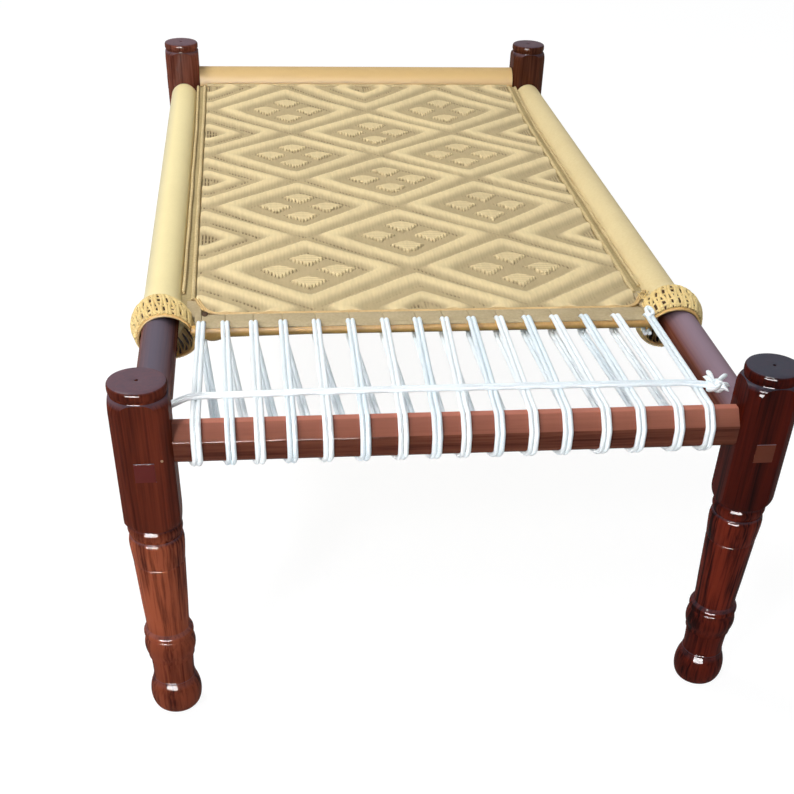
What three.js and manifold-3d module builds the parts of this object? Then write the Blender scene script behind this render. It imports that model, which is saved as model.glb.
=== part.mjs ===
// A charpai: a rope bed on four turned legs, whose woven cord bed is laced to its foot rail.
// Millimetres, +Z up. X runs across the bed and Y from the foot end to the head end.
// The origin is on the floor, under the middle of the bed.

import * as THREE from 'three';
import { mergeVertices } from 'three/addons/utils/BufferGeometryUtils.js';
import Module from 'manifold-3d';

const wasm = await Module();
wasm.setup();

// Frame: the legs' spacing, the rails' height and how the rails enter the legs
const legSpacingAcross = 837;
const legSpacingAlong = 1715;
const sideRailHeight = 432;
const sideRailDiameter = 56;
const endRailWidth = 49;
const endRailDepth = 51;
const endRailTopChamfer = 18.5;
const footRailBottomChamfer = 8;
const tenonWidth = 27;
const tenonDepth = 27.5;
const tenonSpacing = 0.5;
const tenonProud = 1;
const fitGap = 0.3;

// The pin through the front left leg, which locks the foot rail's tenon
const pinDiameter = 4;
const pinFromLegMiddle = 23.5;
const pinAboveTenonUnderside = 2.8;
const pinReachInTenon = 8;
const pinProud = 0.6;

// Legs: a square block with turned corners, above a turned shaft, ring, neck and ball foot
const blockSide = 76;
const blockCornerDiameter = 90;
const blockBelowSideRail = 94;
const blockShoulder = 15;
const legAboveEndRail = 85;
const discDiameter = 77;
const discThickness = 13;
const discEdge = 1.5;
const discNeckDiameter = 73;
const discNeckLength = 4;
const latheHoleDiameter = 4.5;
const latheHoleDepth = 5;
const beadDiameter = 76;
const beadHeight = 20;
const lineDepth = 2;
const lineWidth = 4;
const shaftTopDiameter = 74.5;
const shaftFootDiameter = 62;
const lipDiameter = 72;
const lipHeight = 13;
const ringDiameter = 75;
const ringHeight = 34;
const ringWaistDiameter = 68;
const neckDiameter = 61;
const neckLength = 40;
const footDiameter = 77;
const footHeight = 57;
const footWidestHeight = 27;
const footFlatDiameter = 54;

// Woven bed: the panel, the cord covering on the rails and the cords that border the panel
const wrapThickness = 2.7;
const panelAboveSideRail = 16;
const panelThickness = 14;
const panelBesideRail = 54.5;
const panelBeforeHeadRail = 43;
const selvedgeDrop = 8;
const headRise = 15;
const headRiseShares = [0.12, 0.45, 1];
const borderCordDiameter = 7;
const thinCordDiameter = 5.5;
const borderDrift = 2.2;
const borderDriftShares = [0, 0.5, 0.15, 0.8, 0.3, 1, 0.2, 0.7, 0.4, 0.9, 0.3, 0.6, 0.1];

// Foot edge: the band past the panel, the roll that it ends in and the collars on the side rails
const lacingSpan = 368;
const rollDiameter = 20;
const rollPastCollar = 2;
const bandLength = 43;
const bandThickness = 10;
const collarPastRoll = 19;
const leftCollarLength = 116;
const rightCollarLength = 84;
const collarDiameter = 107;
const collarMouthDiameter = 84;
const collarWall = 5;
const collarWidestShare = 0.24;
const collarFlareShare = 0.7;
const collarLean = 8.5;
const collarHang = 9.4;

// Lacing: two cords side by side, tied at the right, laid across to the left side rail, hitched
// round it behind its leg, then wound turn by turn round the foot rail and the roll
const cordDiameter = 6;
const cordSpacing = 7.2;
const cordSeat = 0.35;
const lacingTurns = 16;
const rollTurnFromLeftRail = 63.5;
const rollTurnFromRightRail = 53.5;
const railTurnFromLeftRail = 69.5;
const railTurnFromRightRail = 83.5;
const rearLagShare = 0.36;
const frontLagShare = 0.06;
const lacingTail = 9;
const crossCordFromFootRail = 55;
const crossCordSeat = 0.6;
const crossCordSway = 7;
const crossCordSwayShares = [0, 0.15, 0.6, 1, 1, 0.15];
const hitchFromFootRail = 46;
const hitchSpacing = 12;
const hitchStartDegrees = 110;
const hitchEndDegrees = 300;
const hitchCorner = 9;
const knotFromRightRail = 64.5;
const knotWidth = 24;
const knotLength = 23;
const knotDepth = 18;
const knotBackShare = 0.35;
const tailDiameter = 9;
const tailTipDiameter = 2;

// Facet counts
const legSides = 18;
const railSides = 28;
const arcSteps = 3;
const cordSides = 6;
const borderSides = 8;
const borderSteps = 12;
const rollTurnSteps = 4;
const hitchSteps = 7;
const knotSides = 12;

// Places worked out from the sizes above
const overrun = sideRailDiameter;
const railX = legSpacingAcross / 2;
const footY = -legSpacingAlong / 2;
const headY = legSpacingAlong / 2;
const endRailHeight = sideRailHeight + tenonDepth + tenonSpacing;
const legHeight = endRailHeight + legAboveEndRail;
const blockFootZ = sideRailHeight - blockBelowSideRail;
const blockTopZ = legHeight - discThickness - discNeckLength;
const railReachX = railX - blockSide / 2 - fitGap;
const railReachY = headY - blockSide / 2 - fitGap;
const tenonReachX = railX + blockSide / 2 + tenonProud;
const tenonReachY = headY + blockSide / 2 + tenonProud;
const wrapBore = sideRailDiameter / 2 + fitGap;
const wrapRadius = wrapBore + wrapThickness;
const panelTop = sideRailHeight + panelAboveSideRail;
const panelUnderside = panelTop - panelThickness;
const selvedgeTop = panelTop - selvedgeDrop;
const panelHalfWidth = railX - panelBesideRail;
const panelHeadY = headY - panelBeforeHeadRail;
const rollRadius = rollDiameter / 2;
const rollY = footY + lacingSpan;
const rollZ = panelTop - rollRadius;
const bandHeadY = rollY + bandLength;
const panelFootY = bandHeadY + borderCordDiameter + 2 * fitGap;
const collarFootY = rollY + collarPastRoll;
const cordsFootY = collarFootY + Math.max(leftCollarLength, rightCollarLength) + borderCordDiameter;
const cordsHeadY = railReachY - borderCordDiameter;
const cordRadius = cordDiameter / 2;
const cordOffset = cordRadius + cordSeat;

// Finishes
const legWood = { color: 0x5a2419, roughness: 0.25, metalness: 0 };
const railWood = { color: 0x7a4436, roughness: 0.3, metalness: 0 };
const pinWood = { color: 0xb08a62, roughness: 0.5, metalness: 0 };
const wovenCord = { color: 0xe0c890, roughness: 0.7, metalness: 0 };
const wrapCord = { color: 0xf3dfa2, roughness: 0.6, metalness: 0 };
const goldCord = { color: 0xdcb466, roughness: 0.7, metalness: 0 };
const whiteCord = { color: 0xf4f7f8, roughness: 0.6, metalness: 0 };

const charpai = new THREE.Group();

function addPiece(name, finish, geometry) {
  const mesh = new THREE.Mesh(geometry, new THREE.MeshStandardMaterial(finish));
  mesh.name = name;
  charpai.add(mesh);
}

// A closed geometry as a solid: vertices merged, and triangles with no area left out
function toSolid(geometry) {
  const bare = geometry.clone();
  bare.deleteAttribute('normal');
  bare.deleteAttribute('uv');
  const merged = mergeVertices(bare);
  const index = merged.index.array;
  const corners = [];
  for (let i = 0; i < index.length; i += 3) {
    const [a, b, c] = index.slice(i, i + 3);
    if (a !== b && b !== c && c !== a) {
      corners.push(a, b, c);
    }
  }
  return new wasm.Manifold(new wasm.Mesh({
    numProp: 3,
    vertProperties: new Float32Array(merged.attributes.position.array),
    triVerts: new Uint32Array(corners),
  }));
}

function toGeometry(solid) {
  const mesh = solid.getMesh();
  const positions = new Float32Array(mesh.vertProperties);
  const geometry = new THREE.BufferGeometry();
  geometry.setAttribute('position', new THREE.BufferAttribute(positions, 3));
  geometry.setIndex(new THREE.BufferAttribute(new Uint32Array(mesh.triVerts), 1));
  return geometry;
}

// A box between two corners
function box(x0, x1, y0, y1, z0, z1) {
  const geometry = new THREE.BoxGeometry(x1 - x0, y1 - y0, z1 - z0);
  return toSolid(geometry.translate((x0 + x1) / 2, (y0 + y1) / 2, (z0 + z1) / 2));
}

// A closed section of (radius, place) points, turned about the Y axis
function turned(points, sides) {
  return new THREE.LatheGeometry(points.map(([r, y]) => new THREE.Vector2(r, y)), sides);
}

// Round rods, centred on the X or the Y axis
function rodAlongY(radius, length, sides) {
  return new THREE.CylinderGeometry(radius, radius, length, sides);
}

function rodAlongX(radius, length, sides) {
  return rodAlongY(radius, length, sides).rotateZ(-Math.PI / 2);
}

// Points on a quarter of an ellipse between two (radius, height) places, the first left out
function quarter([fromR, fromZ], [toR, toZ], leavesUpright) {
  const points = [];
  for (let i = 1; i <= arcSteps; i += 1) {
    const angle = (i / arcSteps) * Math.PI / 2;
    const rShare = leavesUpright ? 1 - Math.cos(angle) : Math.sin(angle);
    const zShare = leavesUpright ? Math.sin(angle) : 1 - Math.cos(angle);
    points.push([fromR + (toR - fromR) * rShare, fromZ + (toZ - fromZ) * zShare]);
  }
  return points;
}

// A swelling between two heights: half an ellipse that stands out from a radius
function swelling(radius, fullRadius, z0, z1) {
  const points = [];
  for (let i = 0; i <= arcSteps + 1; i += 1) {
    const share = i / (arcSteps + 1);
    points.push([radius + (fullRadius - radius) * Math.sin(share * Math.PI), z0 + (z1 - z0) * share]);
  }
  return points;
}

// The turned outline of a leg, from the middle of its foot up to the middle of its top
function legOutline() {
  const footFlat = [footFlatDiameter / 2, 0];
  const footWidest = [footDiameter / 2, footWidestHeight];
  const neckFoot = [neckDiameter / 2, footHeight];
  const ringFootZ = footHeight + neckLength;
  const ringTopZ = ringFootZ + ringHeight;
  const lipFootZ = ringTopZ + lineWidth;
  const shaftFootZ = lipFootZ + lipHeight;
  const beadFootZ = blockFootZ - beadHeight;
  const shaftTopZ = beadFootZ - lineWidth;
  const waist = ringWaistDiameter / 2;
  const beadSeat = beadDiameter / 2 - lineDepth;
  const cornerFoot = [blockCornerDiameter / 2, blockFootZ + blockShoulder];
  const cornerTop = [blockCornerDiameter / 2, blockTopZ - blockShoulder];
  const discFootZ = legHeight - discThickness;
  return [
    [0, 0],
    footFlat,
    ...quarter(footFlat, footWidest, false),
    ...quarter(footWidest, neckFoot, true),
    [neckDiameter / 2, ringFootZ - lineWidth],
    ...swelling(waist, ringDiameter / 2, ringFootZ, ringTopZ),
    [waist, lipFootZ],
    [lipDiameter / 2, lipFootZ + lineDepth],
    [lipDiameter / 2, shaftFootZ - lineWidth],
    [shaftFootDiameter / 2, shaftFootZ],
    [shaftTopDiameter / 2, shaftTopZ - lineWidth],
    [shaftTopDiameter / 2 - lineDepth, shaftTopZ],
    ...swelling(beadSeat, beadDiameter / 2, beadFootZ, blockFootZ),
    ...quarter([beadSeat, blockFootZ], cornerFoot, false),
    cornerTop,
    ...quarter(cornerTop, [discNeckDiameter / 2, blockTopZ], true),
    [discNeckDiameter / 2, discFootZ],
    [discDiameter / 2, discFootZ + discEdge],
    [discDiameter / 2, legHeight - discEdge],
    [discDiameter / 2 - discEdge, legHeight],
    [latheHoleDiameter / 2, legHeight],
    [latheHoleDiameter / 2, legHeight - latheHoleDepth],
    [0, legHeight - latheHoleDepth],
  ];
}

// The pin, or with a clearance its hole, from its end in the tenon out past the leg's foot face
function pinGeometry(clearance, proud) {
  const faceY = footY - blockSide / 2 - proud;
  const endY = footY - tenonWidth / 2 + pinReachInTenon + clearance;
  const x = -railX + pinFromLegMiddle;
  const z = endRailHeight - tenonDepth / 2 + pinAboveTenonUnderside;
  const rod = rodAlongY(pinDiameter / 2 + clearance, endY - faceY, borderSides);
  return rod.translate(x, (faceY + endY) / 2, z);
}

const pinHole = toSolid(pinGeometry(fitGap, overrun));
addPiece('front_left_tenon_pin', pinWood, pinGeometry(0, pinProud));

// A leg: the turned post, with its block flattened on four sides and two mortises that cross
function legGeometry(x, y) {
  const half = blockSide / 2;
  const far = half + overrun;
  const width = tenonWidth / 2 + fitGap;
  const depth = tenonDepth / 2 + fitGap;
  let solid = toSolid(turned(legOutline(), legSides).rotateX(Math.PI / 2));
  solid = solid.subtract(box(half, far, -far, far, blockFootZ, blockTopZ));
  solid = solid.subtract(box(-far, -half, -far, far, blockFootZ, blockTopZ));
  solid = solid.subtract(box(-far, far, half, far, blockFootZ, blockTopZ));
  solid = solid.subtract(box(-far, far, -far, -half, blockFootZ, blockTopZ));
  solid = solid.subtract(box(-width, width, -far, far, sideRailHeight - depth, sideRailHeight + depth));
  solid = solid.subtract(box(-far, far, -width, width, endRailHeight - depth, endRailHeight + depth));
  return toGeometry(solid.translate([x, y, 0]).subtract(pinHole));
}

addPiece('front_left_leg', legWood, legGeometry(-railX, footY));
addPiece('front_right_leg', legWood, legGeometry(railX, footY));
addPiece('rear_left_leg', legWood, legGeometry(-railX, headY));
addPiece('rear_right_leg', legWood, legGeometry(railX, headY));

// Side rails: round, with a square tenon through the leg at each end
function sideRailGeometry(x) {
  const half = tenonDepth / 2;
  const round = toSolid(rodAlongY(sideRailDiameter / 2, 2 * railReachY, railSides));
  const tenons = box(-tenonWidth / 2, tenonWidth / 2, -tenonReachY, tenonReachY, -half, half);
  return toGeometry(round.add(tenons).translate([x, 0, sideRailHeight]));
}

addPiece('left_side_rail', railWood, sideRailGeometry(-railX));
addPiece('right_side_rail', railWood, sideRailGeometry(railX));

// End rails: an eight-sided bar along X, with a square tenon through the leg at each end
function endRailGeometry(y, bottomChamfer) {
  const wide = endRailWidth / 2;
  const high = endRailDepth / 2;
  const section = new THREE.Shape([
    new THREE.Vector2(-wide, -high + bottomChamfer),
    new THREE.Vector2(-wide + bottomChamfer, -high),
    new THREE.Vector2(wide - bottomChamfer, -high),
    new THREE.Vector2(wide, -high + bottomChamfer),
    new THREE.Vector2(wide, high - endRailTopChamfer),
    new THREE.Vector2(wide - endRailTopChamfer, high),
    new THREE.Vector2(-wide + endRailTopChamfer, high),
    new THREE.Vector2(-wide, high - endRailTopChamfer),
  ]);
  const bar = new THREE.ExtrudeGeometry(section, { depth: 2 * railReachX, bevelEnabled: false });
  bar.rotateX(Math.PI / 2).rotateZ(Math.PI / 2).translate(-railReachX, 0, 0);
  const half = tenonDepth / 2;
  const tenons = box(-tenonReachX, tenonReachX, -tenonWidth / 2, tenonWidth / 2, -half, half);
  return toGeometry(toSolid(bar).add(tenons).translate([0, y, endRailHeight]).subtract(pinHole));
}

addPiece('foot_rail', railWood, endRailGeometry(footY, footRailBottomChamfer));
addPiece('head_rail', railWood, endRailGeometry(headY, endRailTopChamfer));

// Cord covering of a rail: close turns, as one tube with a bore for the rail
function sleeve(y0, y1) {
  const outline = [[wrapBore, y0], [wrapRadius, y0], [wrapRadius, y1], [wrapBore, y1], [wrapBore, y0]];
  return turned(outline, railSides);
}

function sideWrapGeometry(x, collarLength) {
  return sleeve(collarFootY + collarLength + fitGap, railReachY).translate(x, 0, sideRailHeight);
}

addPiece('left_rail_wrap', wrapCord, sideWrapGeometry(-railX, leftCollarLength));
addPiece('right_rail_wrap', wrapCord, sideWrapGeometry(railX, rightCollarLength));
const headWrap = sleeve(-railReachX, railReachX).rotateZ(-Math.PI / 2);
addPiece('head_rail_wrap', wrapCord, headWrap.translate(0, headY, endRailHeight));

// Corner collars: a flaring sleeve of cords round each side rail, where the weave ends. Its wide
// mouth rests on the rail, so it hangs lower than the rail and leans towards the bed.
function collarGeometry(side, length, clearance, mouth, bore) {
  const y0 = collarFootY - clearance;
  const y1 = collarFootY + length;
  const thin = wrapBore + collarWall + clearance;
  const full = collarDiameter / 2 + clearance;
  const rim = [collarMouthDiameter / 2 + collarWall + clearance, y0];
  const widest = [full, y0 + (y1 - y0) * collarWidestShare];
  const flare = [(full + thin) / 2, y0 + (y1 - y0) * collarFlareShare];
  const outline = [
    [mouth, y0],
    rim,
    ...quarter(rim, widest, false),
    ...quarter(widest, flare, true),
    [thin, y1],
    [bore, y1],
    [mouth, y0],
  ];
  const geometry = turned(outline, railSides);
  const places = geometry.attributes.position;
  for (let i = 0; i < places.count; i += 1) {
    const share = (y1 - places.getY(i)) / (y1 - y0);
    places.setX(i, places.getX(i) - side * collarLean * share);
    places.setZ(i, places.getZ(i) - collarHang * share);
  }
  return geometry.translate(side * railX, 0, sideRailHeight);
}

const mouthRadius = collarMouthDiameter / 2;
const leftCollar = collarGeometry(-1, leftCollarLength, 0, mouthRadius, wrapBore);
const rightCollar = collarGeometry(1, rightCollarLength, 0, mouthRadius, wrapBore);
addPiece('left_corner_collar', goldCord, leftCollar);
addPiece('right_corner_collar', goldCord, rightCollar);

// The space that the covered rails and the collars take, with the gap that keeps the weave off
const coveredRadius = wrapRadius + fitGap;
const coveredRails = [
  rodAlongY(coveredRadius, 2 * headY, railSides).translate(-railX, 0, sideRailHeight),
  rodAlongY(coveredRadius, 2 * headY, railSides).translate(railX, 0, sideRailHeight),
  rodAlongX(coveredRadius, 2 * railX, railSides).translate(0, headY, endRailHeight),
  collarGeometry(-1, leftCollarLength, fitGap, 0, 0),
  collarGeometry(1, rightCollarLength, fitGap, 0, 0),
].map(toSolid);

function clearOfRails(solid) {
  return coveredRails.reduce((rest, covered) => rest.subtract(covered), solid);
}

// The bed is flat but near the head, where it climbs to meet the head rail. The climb is given at
// even places along the side border cords.
const climb = [
  ...Array(borderSteps + 1 - headRiseShares.length).fill(0),
  ...headRiseShares.map((share) => share * headRise),
].map((rise, i) => [cordsFootY + (cordsHeadY - cordsFootY) * i / borderSteps, rise]);

// A slab of the bed across X, which follows the climb
function slab(halfWidth, y0, y1, z0, z1) {
  const inner = climb.filter(([y]) => y > y0 && y < y1);
  const endRise = y1 > cordsHeadY ? headRise : 0;
  const startRise = y0 > cordsFootY ? headRise : 0;
  const run = [[y0, startRise], ...inner, [y1, endRise]];
  const section = new THREE.Shape([
    ...run.map(([y, rise]) => new THREE.Vector2(y, z0 + rise)),
    ...run.toReversed().map(([y, rise]) => new THREE.Vector2(y, z1 + rise)),
  ]);
  const bar = new THREE.ExtrudeGeometry(section, { depth: 2 * halfWidth, bevelEnabled: false });
  return toSolid(bar.rotateX(Math.PI / 2).rotateZ(Math.PI / 2).translate(-halfWidth, 0, 0));
}

// Woven panel: thick where the pattern is, with a thin selvedge that reaches the covered rails
const thick = slab(panelHalfWidth, panelFootY, panelHeadY, panelUnderside, panelTop);
const wide = slab(railX, bandHeadY + fitGap, railReachY, panelUnderside, selvedgeTop);
const long = slab(railReachX, panelHeadY, headY, panelUnderside, selvedgeTop);
addPiece('woven_panel', wovenCord, toGeometry(clearOfRails(thick.add(wide).add(long))));

// Where each turn of the lacing meets the roll and the foot rail
const rollTurnX0 = -railX + rollTurnFromLeftRail;
const rollTurnStep = (railX - rollTurnFromRightRail - rollTurnX0) / (lacingTurns - 1);
const railTurnX0 = -railX + railTurnFromLeftRail;
const railTurnStep = (railX - railTurnFromRightRail - railTurnX0) / (lacingTurns - 1);

// Foot band: the plain weave from the panel to the roll, with a slot for each pair of cords. It
// reaches from the first pair to the last.
const slotHalfWidth = (cordSpacing + cordDiameter) / 2 + 2 * cordSeat;
const slotHeadY = rollY + rollRadius + cordDiameter + 3 * cordSeat;
const lastTurnX = rollTurnX0 + (lacingTurns - 1) * rollTurnStep;
let band = box(rollTurnX0, lastTurnX, rollY, bandHeadY, panelTop - bandThickness, panelTop);
const rollSpace = rodAlongX(rollRadius + fitGap, 2 * railX, railSides).translate(0, rollY, rollZ);
band = clearOfRails(band).subtract(toSolid(rollSpace));
for (let i = 0; i < lacingTurns; i += 1) {
  const x = rollTurnX0 + i * rollTurnStep;
  band = band.subtract(box(x - slotHalfWidth, x + slotHalfWidth, footY, slotHeadY, 0, legHeight));
}
addPiece('foot_edge_band', goldCord, toGeometry(band));

// Foot edge roll: the round bar of cord that the lacing pulls on
const rollReach = railX - collarDiameter / 2 + rollPastCollar;
const roll = rodAlongX(rollRadius, 2 * rollReach, railSides);
addPiece('foot_edge_roll', goldCord, roll.translate(0, rollY, rollZ));

// Border cords, which lie on the selvedge: a thick one along the panel, a thin one along the wrap
const borderZ = selvedgeTop + fitGap + borderCordDiameter / 2;
const thinZ = selvedgeTop + fitGap + thinCordDiameter / 2;

function sideCordGeometry(x, z, diameter, drift) {
  const points = climb.map(([y, rise], i) => (
    new THREE.Vector3(x + borderDriftShares[i] * drift, y, z + rise)
  ));
  const section = new THREE.Shape();
  section.absarc(0, 0, diameter / 2, 0, 2 * Math.PI);
  return new THREE.ExtrudeGeometry(section, {
    steps: borderSteps,
    curveSegments: borderSides / 2,
    extrudePath: new THREE.CatmullRomCurve3(points),
  });
}

const besidePanel = panelHalfWidth + 2 * fitGap + borderCordDiameter / 2;
const wrapToThinCord = wrapRadius + 2 * fitGap + thinCordDiameter / 2;
const besideWrap = railX - Math.sqrt(wrapToThinCord ** 2 - (thinZ - sideRailHeight) ** 2);
for (const [name, side] of [['left', -1], ['right', 1]]) {
  const inner = sideCordGeometry(side * besidePanel, borderZ, borderCordDiameter, side * borderDrift);
  const outer = sideCordGeometry(side * besideWrap, thinZ, thinCordDiameter, -side * borderDrift);
  addPiece(`${name}_border_cord`, wrapCord, inner);
  addPiece(`${name}_thin_border_cord`, wrapCord, outer);
}

const headCord = rodAlongX(borderCordDiameter / 2, 2 * panelHalfWidth, borderSides);
const headCordY = panelHeadY + fitGap + borderCordDiameter / 2;
addPiece('head_border_cord', wrapCord, headCord.translate(0, headCordY, borderZ + headRise));
const footCordReach = railX - collarDiameter / 2 - borderCordDiameter;
const footCord = rodAlongX(borderCordDiameter / 2, 2 * footCordReach, borderSides);
addPiece('foot_border_cord', goldCord, footCord.translate(0, (bandHeadY + panelFootY) / 2, borderZ));

// The foot rail's section as the cords go round it: across, up and how far back along the rail
const offsetBend = cordOffset * Math.tan(Math.PI / 8);
const railHalfWidth = endRailWidth / 2;
const railTopZ = endRailHeight + endRailDepth / 2;
const railUnderZ = endRailHeight - endRailDepth / 2;
const aroundRail = [
  [railHalfWidth - footRailBottomChamfer + offsetBend, railUnderZ - cordOffset, rearLagShare],
  [-railHalfWidth + footRailBottomChamfer - offsetBend, railUnderZ - cordOffset, frontLagShare],
  [-railHalfWidth - cordOffset, railUnderZ + footRailBottomChamfer - offsetBend, 0],
  [-railHalfWidth - cordOffset, railTopZ - endRailTopChamfer + offsetBend, 0],
  [-railHalfWidth + endRailTopChamfer - offsetBend, railTopZ + cordOffset, 0],
  [railHalfWidth - endRailTopChamfer, railTopZ + cordOffset, 0],
];

// One cord's turns, from under the foot rail at the left to its end under the roll at the right
function lacingRoute(aside) {
  const route = [];
  const turnRadius = (rollRadius + cordOffset) / Math.cos(Math.PI / 2 / rollTurnSteps);
  for (let i = 0; i < lacingTurns; i += 1) {
    const railTurnX = railTurnX0 + i * railTurnStep + aside;
    for (const [y, z, lagShare] of aroundRail) {
      route.push(new THREE.Vector3(railTurnX - lagShare * railTurnStep, footY + y, z));
    }
    const rollTurnX = rollTurnX0 + i * rollTurnStep + aside;
    for (let k = 0; k < rollTurnSteps; k += 1) {
      const angle = Math.PI / 2 - (k + 0.5) * Math.PI / rollTurnSteps;
      const y = rollY + turnRadius * Math.cos(angle);
      route.push(new THREE.Vector3(rollTurnX, y, rollZ + turnRadius * Math.sin(angle)));
    }
  }
  const last = route.at(-1);
  route.push(new THREE.Vector3(last.x, last.y - lacingTail, last.z));
  return route;
}

// The height of the lacing's upper runs, between the foot rail and the roll
function upperRunZ(y) {
  const [railEndY, railEndZ] = aroundRail.at(-1);
  const share = (y - railEndY) / (lacingSpan - railEndY);
  return railEndZ + (rollZ + rollRadius + cordOffset - railEndZ) * share;
}

// One cord's start: from the knot across the upper runs, round the left side rail and back
const knotX = railX - knotFromRightRail;
const crossEndX = railTurnX0 - cordSpacing;

function crossingRoute(place) {
  const last = crossCordSwayShares.length - 1;
  const route = crossCordSwayShares.map((share, i) => {
    const y = crossCordFromFootRail + place * cordSpacing + share * crossCordSway;
    const z = upperRunZ(y) + cordDiameter + crossCordSeat;
    return new THREE.Vector3(knotX + (crossEndX - knotX) * i / last, footY + y, z);
  });
  const hitchY = footY + hitchFromFootRail + place * hitchSpacing;
  const stepAngle = (hitchEndDegrees - hitchStartDegrees) / hitchSteps;
  const hitchRadius = (sideRailDiameter / 2 + cordOffset) / Math.cos(stepAngle * Math.PI / 360);
  for (let i = 0; i <= hitchSteps; i += 1) {
    const angle = (hitchStartDegrees + i * stepAngle) * Math.PI / 180;
    const x = -railX + hitchRadius * Math.cos(angle);
    route.push(new THREE.Vector3(x, hitchY, sideRailHeight + hitchRadius * Math.sin(angle)));
  }
  const leave = route.at(-1);
  const [, startZ, startLagShare] = aroundRail[0];
  const startX = railTurnX0 + (place - 0.5) * cordSpacing - startLagShare * railTurnStep;
  const rise = startZ - leave.z;
  route.push(new THREE.Vector3(startX - hitchCorner, hitchY, leave.z + rise / 2));
  route.push(new THREE.Vector3(startX, hitchY - hitchCorner, leave.z + rise * 3 / 4));
  return route;
}

// A cord as one closed tube along straight runs, mitred where two runs meet
function cordGeometry(route) {
  const runs = route.slice(1).map((point, i) => point.clone().sub(route[i]).normalize());
  const across = new THREE.Vector3(0, 0, 1).cross(runs[0]).normalize();
  const up = runs[0].clone().cross(across);
  const spokes = [];
  for (let k = 0; k < cordSides; k += 1) {
    const angle = (k / cordSides) * 2 * Math.PI;
    const spoke = across.clone().multiplyScalar(Math.cos(angle) * cordRadius);
    spokes.push(spoke.addScaledVector(up, Math.sin(angle) * cordRadius));
  }
  const positions = [];
  route.forEach((point, i) => {
    const before = runs[Math.max(i - 1, 0)];
    const after = runs[Math.min(i, runs.length - 1)];
    const mitre = before.clone().add(after);
    for (const spoke of spokes) {
      spoke.addScaledVector(before, -spoke.dot(mitre) / before.dot(mitre));
      positions.push(point.x + spoke.x, point.y + spoke.y, point.z + spoke.z);
      spoke.addScaledVector(after, -spoke.dot(after));
      spoke.setLength(cordRadius);
    }
  });
  const last = (route.length - 1) * cordSides;
  const index = [];
  for (let k = 1; k < cordSides - 1; k += 1) {
    index.push(0, k + 1, k);
    index.push(last, last + k, last + k + 1);
  }
  for (let i = 0; i < last; i += cordSides) {
    for (let k = 0; k < cordSides; k += 1) {
      const next = (k + 1) % cordSides;
      index.push(i + k, i + next, i + cordSides + k);
      index.push(i + next, i + cordSides + next, i + cordSides + k);
    }
  }
  const geometry = new THREE.BufferGeometry();
  geometry.setAttribute('position', new THREE.Float32BufferAttribute(positions, 3));
  geometry.setIndex(index);
  return geometry;
}

// The least gap that a cord keeps to itself, on points half its radius apart or closer
function leastGap(route) {
  const points = [];
  let travelled = 0;
  for (let i = 1; i < route.length; i += 1) {
    const length = route[i].distanceTo(route[i - 1]);
    const steps = Math.ceil(length / (cordRadius / 2));
    for (let k = 0; k < steps; k += 1) {
      const point = route[i - 1].clone().lerp(route[i], k / steps);
      points.push([point.x, point.y, point.z, travelled + length * k / steps]);
    }
    travelled += length;
  }
  const nearbyLength = Math.PI * sideRailDiameter;
  let least = Infinity;
  for (let i = 0; i < points.length; i += 1) {
    const [x, y, z, at] = points[i];
    for (let k = i + 1; k < points.length; k += 1) {
      const other = points[k];
      if (other[3] - at > nearbyLength) {
        least = Math.min(least, (other[0] - x) ** 2 + (other[1] - y) ** 2 + (other[2] - z) ** 2);
      }
    }
  }
  return Math.sqrt(least) - cordDiameter;
}

const crossings = [0, 1].map(crossingRoute);
crossings.forEach((crossing, i) => {
  const route = [...crossing, ...lacingRoute((i - 0.5) * cordSpacing)];
  addPiece(`lacing_cord_${i + 1}`, whiteCord, cordGeometry(route));
  console.log(`lacing cord ${i + 1}: least gap to itself ${leastGap(route).toFixed(2)} mm`);
});

// End knot: where both cords are tied off, with two frayed tails
const knotMiddle = crossings[0][0].clone().lerp(crossings[1][0], 0.5);
const knotFaceX = knotMiddle.x + fitGap;
knotMiddle.x = knotFaceX + knotWidth * knotBackShare;
const tailTips = [
  new THREE.Vector3(knotWidth, knotLength / 4, knotDepth / 3),
  new THREE.Vector3(knotWidth / 8, knotLength, knotDepth / 3),
];

function tailGeometry(tip) {
  const length = tip.length();
  const cone = new THREE.CylinderGeometry(tailTipDiameter / 2, tailDiameter / 2, length, borderSides);
  const upright = new THREE.Vector3(0, 1, 0);
  const turn = new THREE.Quaternion().setFromUnitVectors(upright, tip.clone().normalize());
  return cone.translate(0, length / 2, 0).applyQuaternion(turn);
}

const knotBall = new THREE.SphereGeometry(1, knotSides, knotSides / 2);
let knot = toSolid(knotBall.scale(knotWidth / 2, knotLength / 2, knotDepth / 2));
for (const tip of tailTips) {
  knot = knot.add(toSolid(tailGeometry(tip)));
}
knot = knot.translate(knotMiddle.toArray()).subtract(box(-railX, knotFaceX, footY, 0, 0, legHeight));
addPiece('end_knot', whiteCord, toGeometry(knot));

export default charpai;
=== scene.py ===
"""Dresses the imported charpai: turned legs, rails, woven cord bed, corner collars and lacing."""

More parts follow.
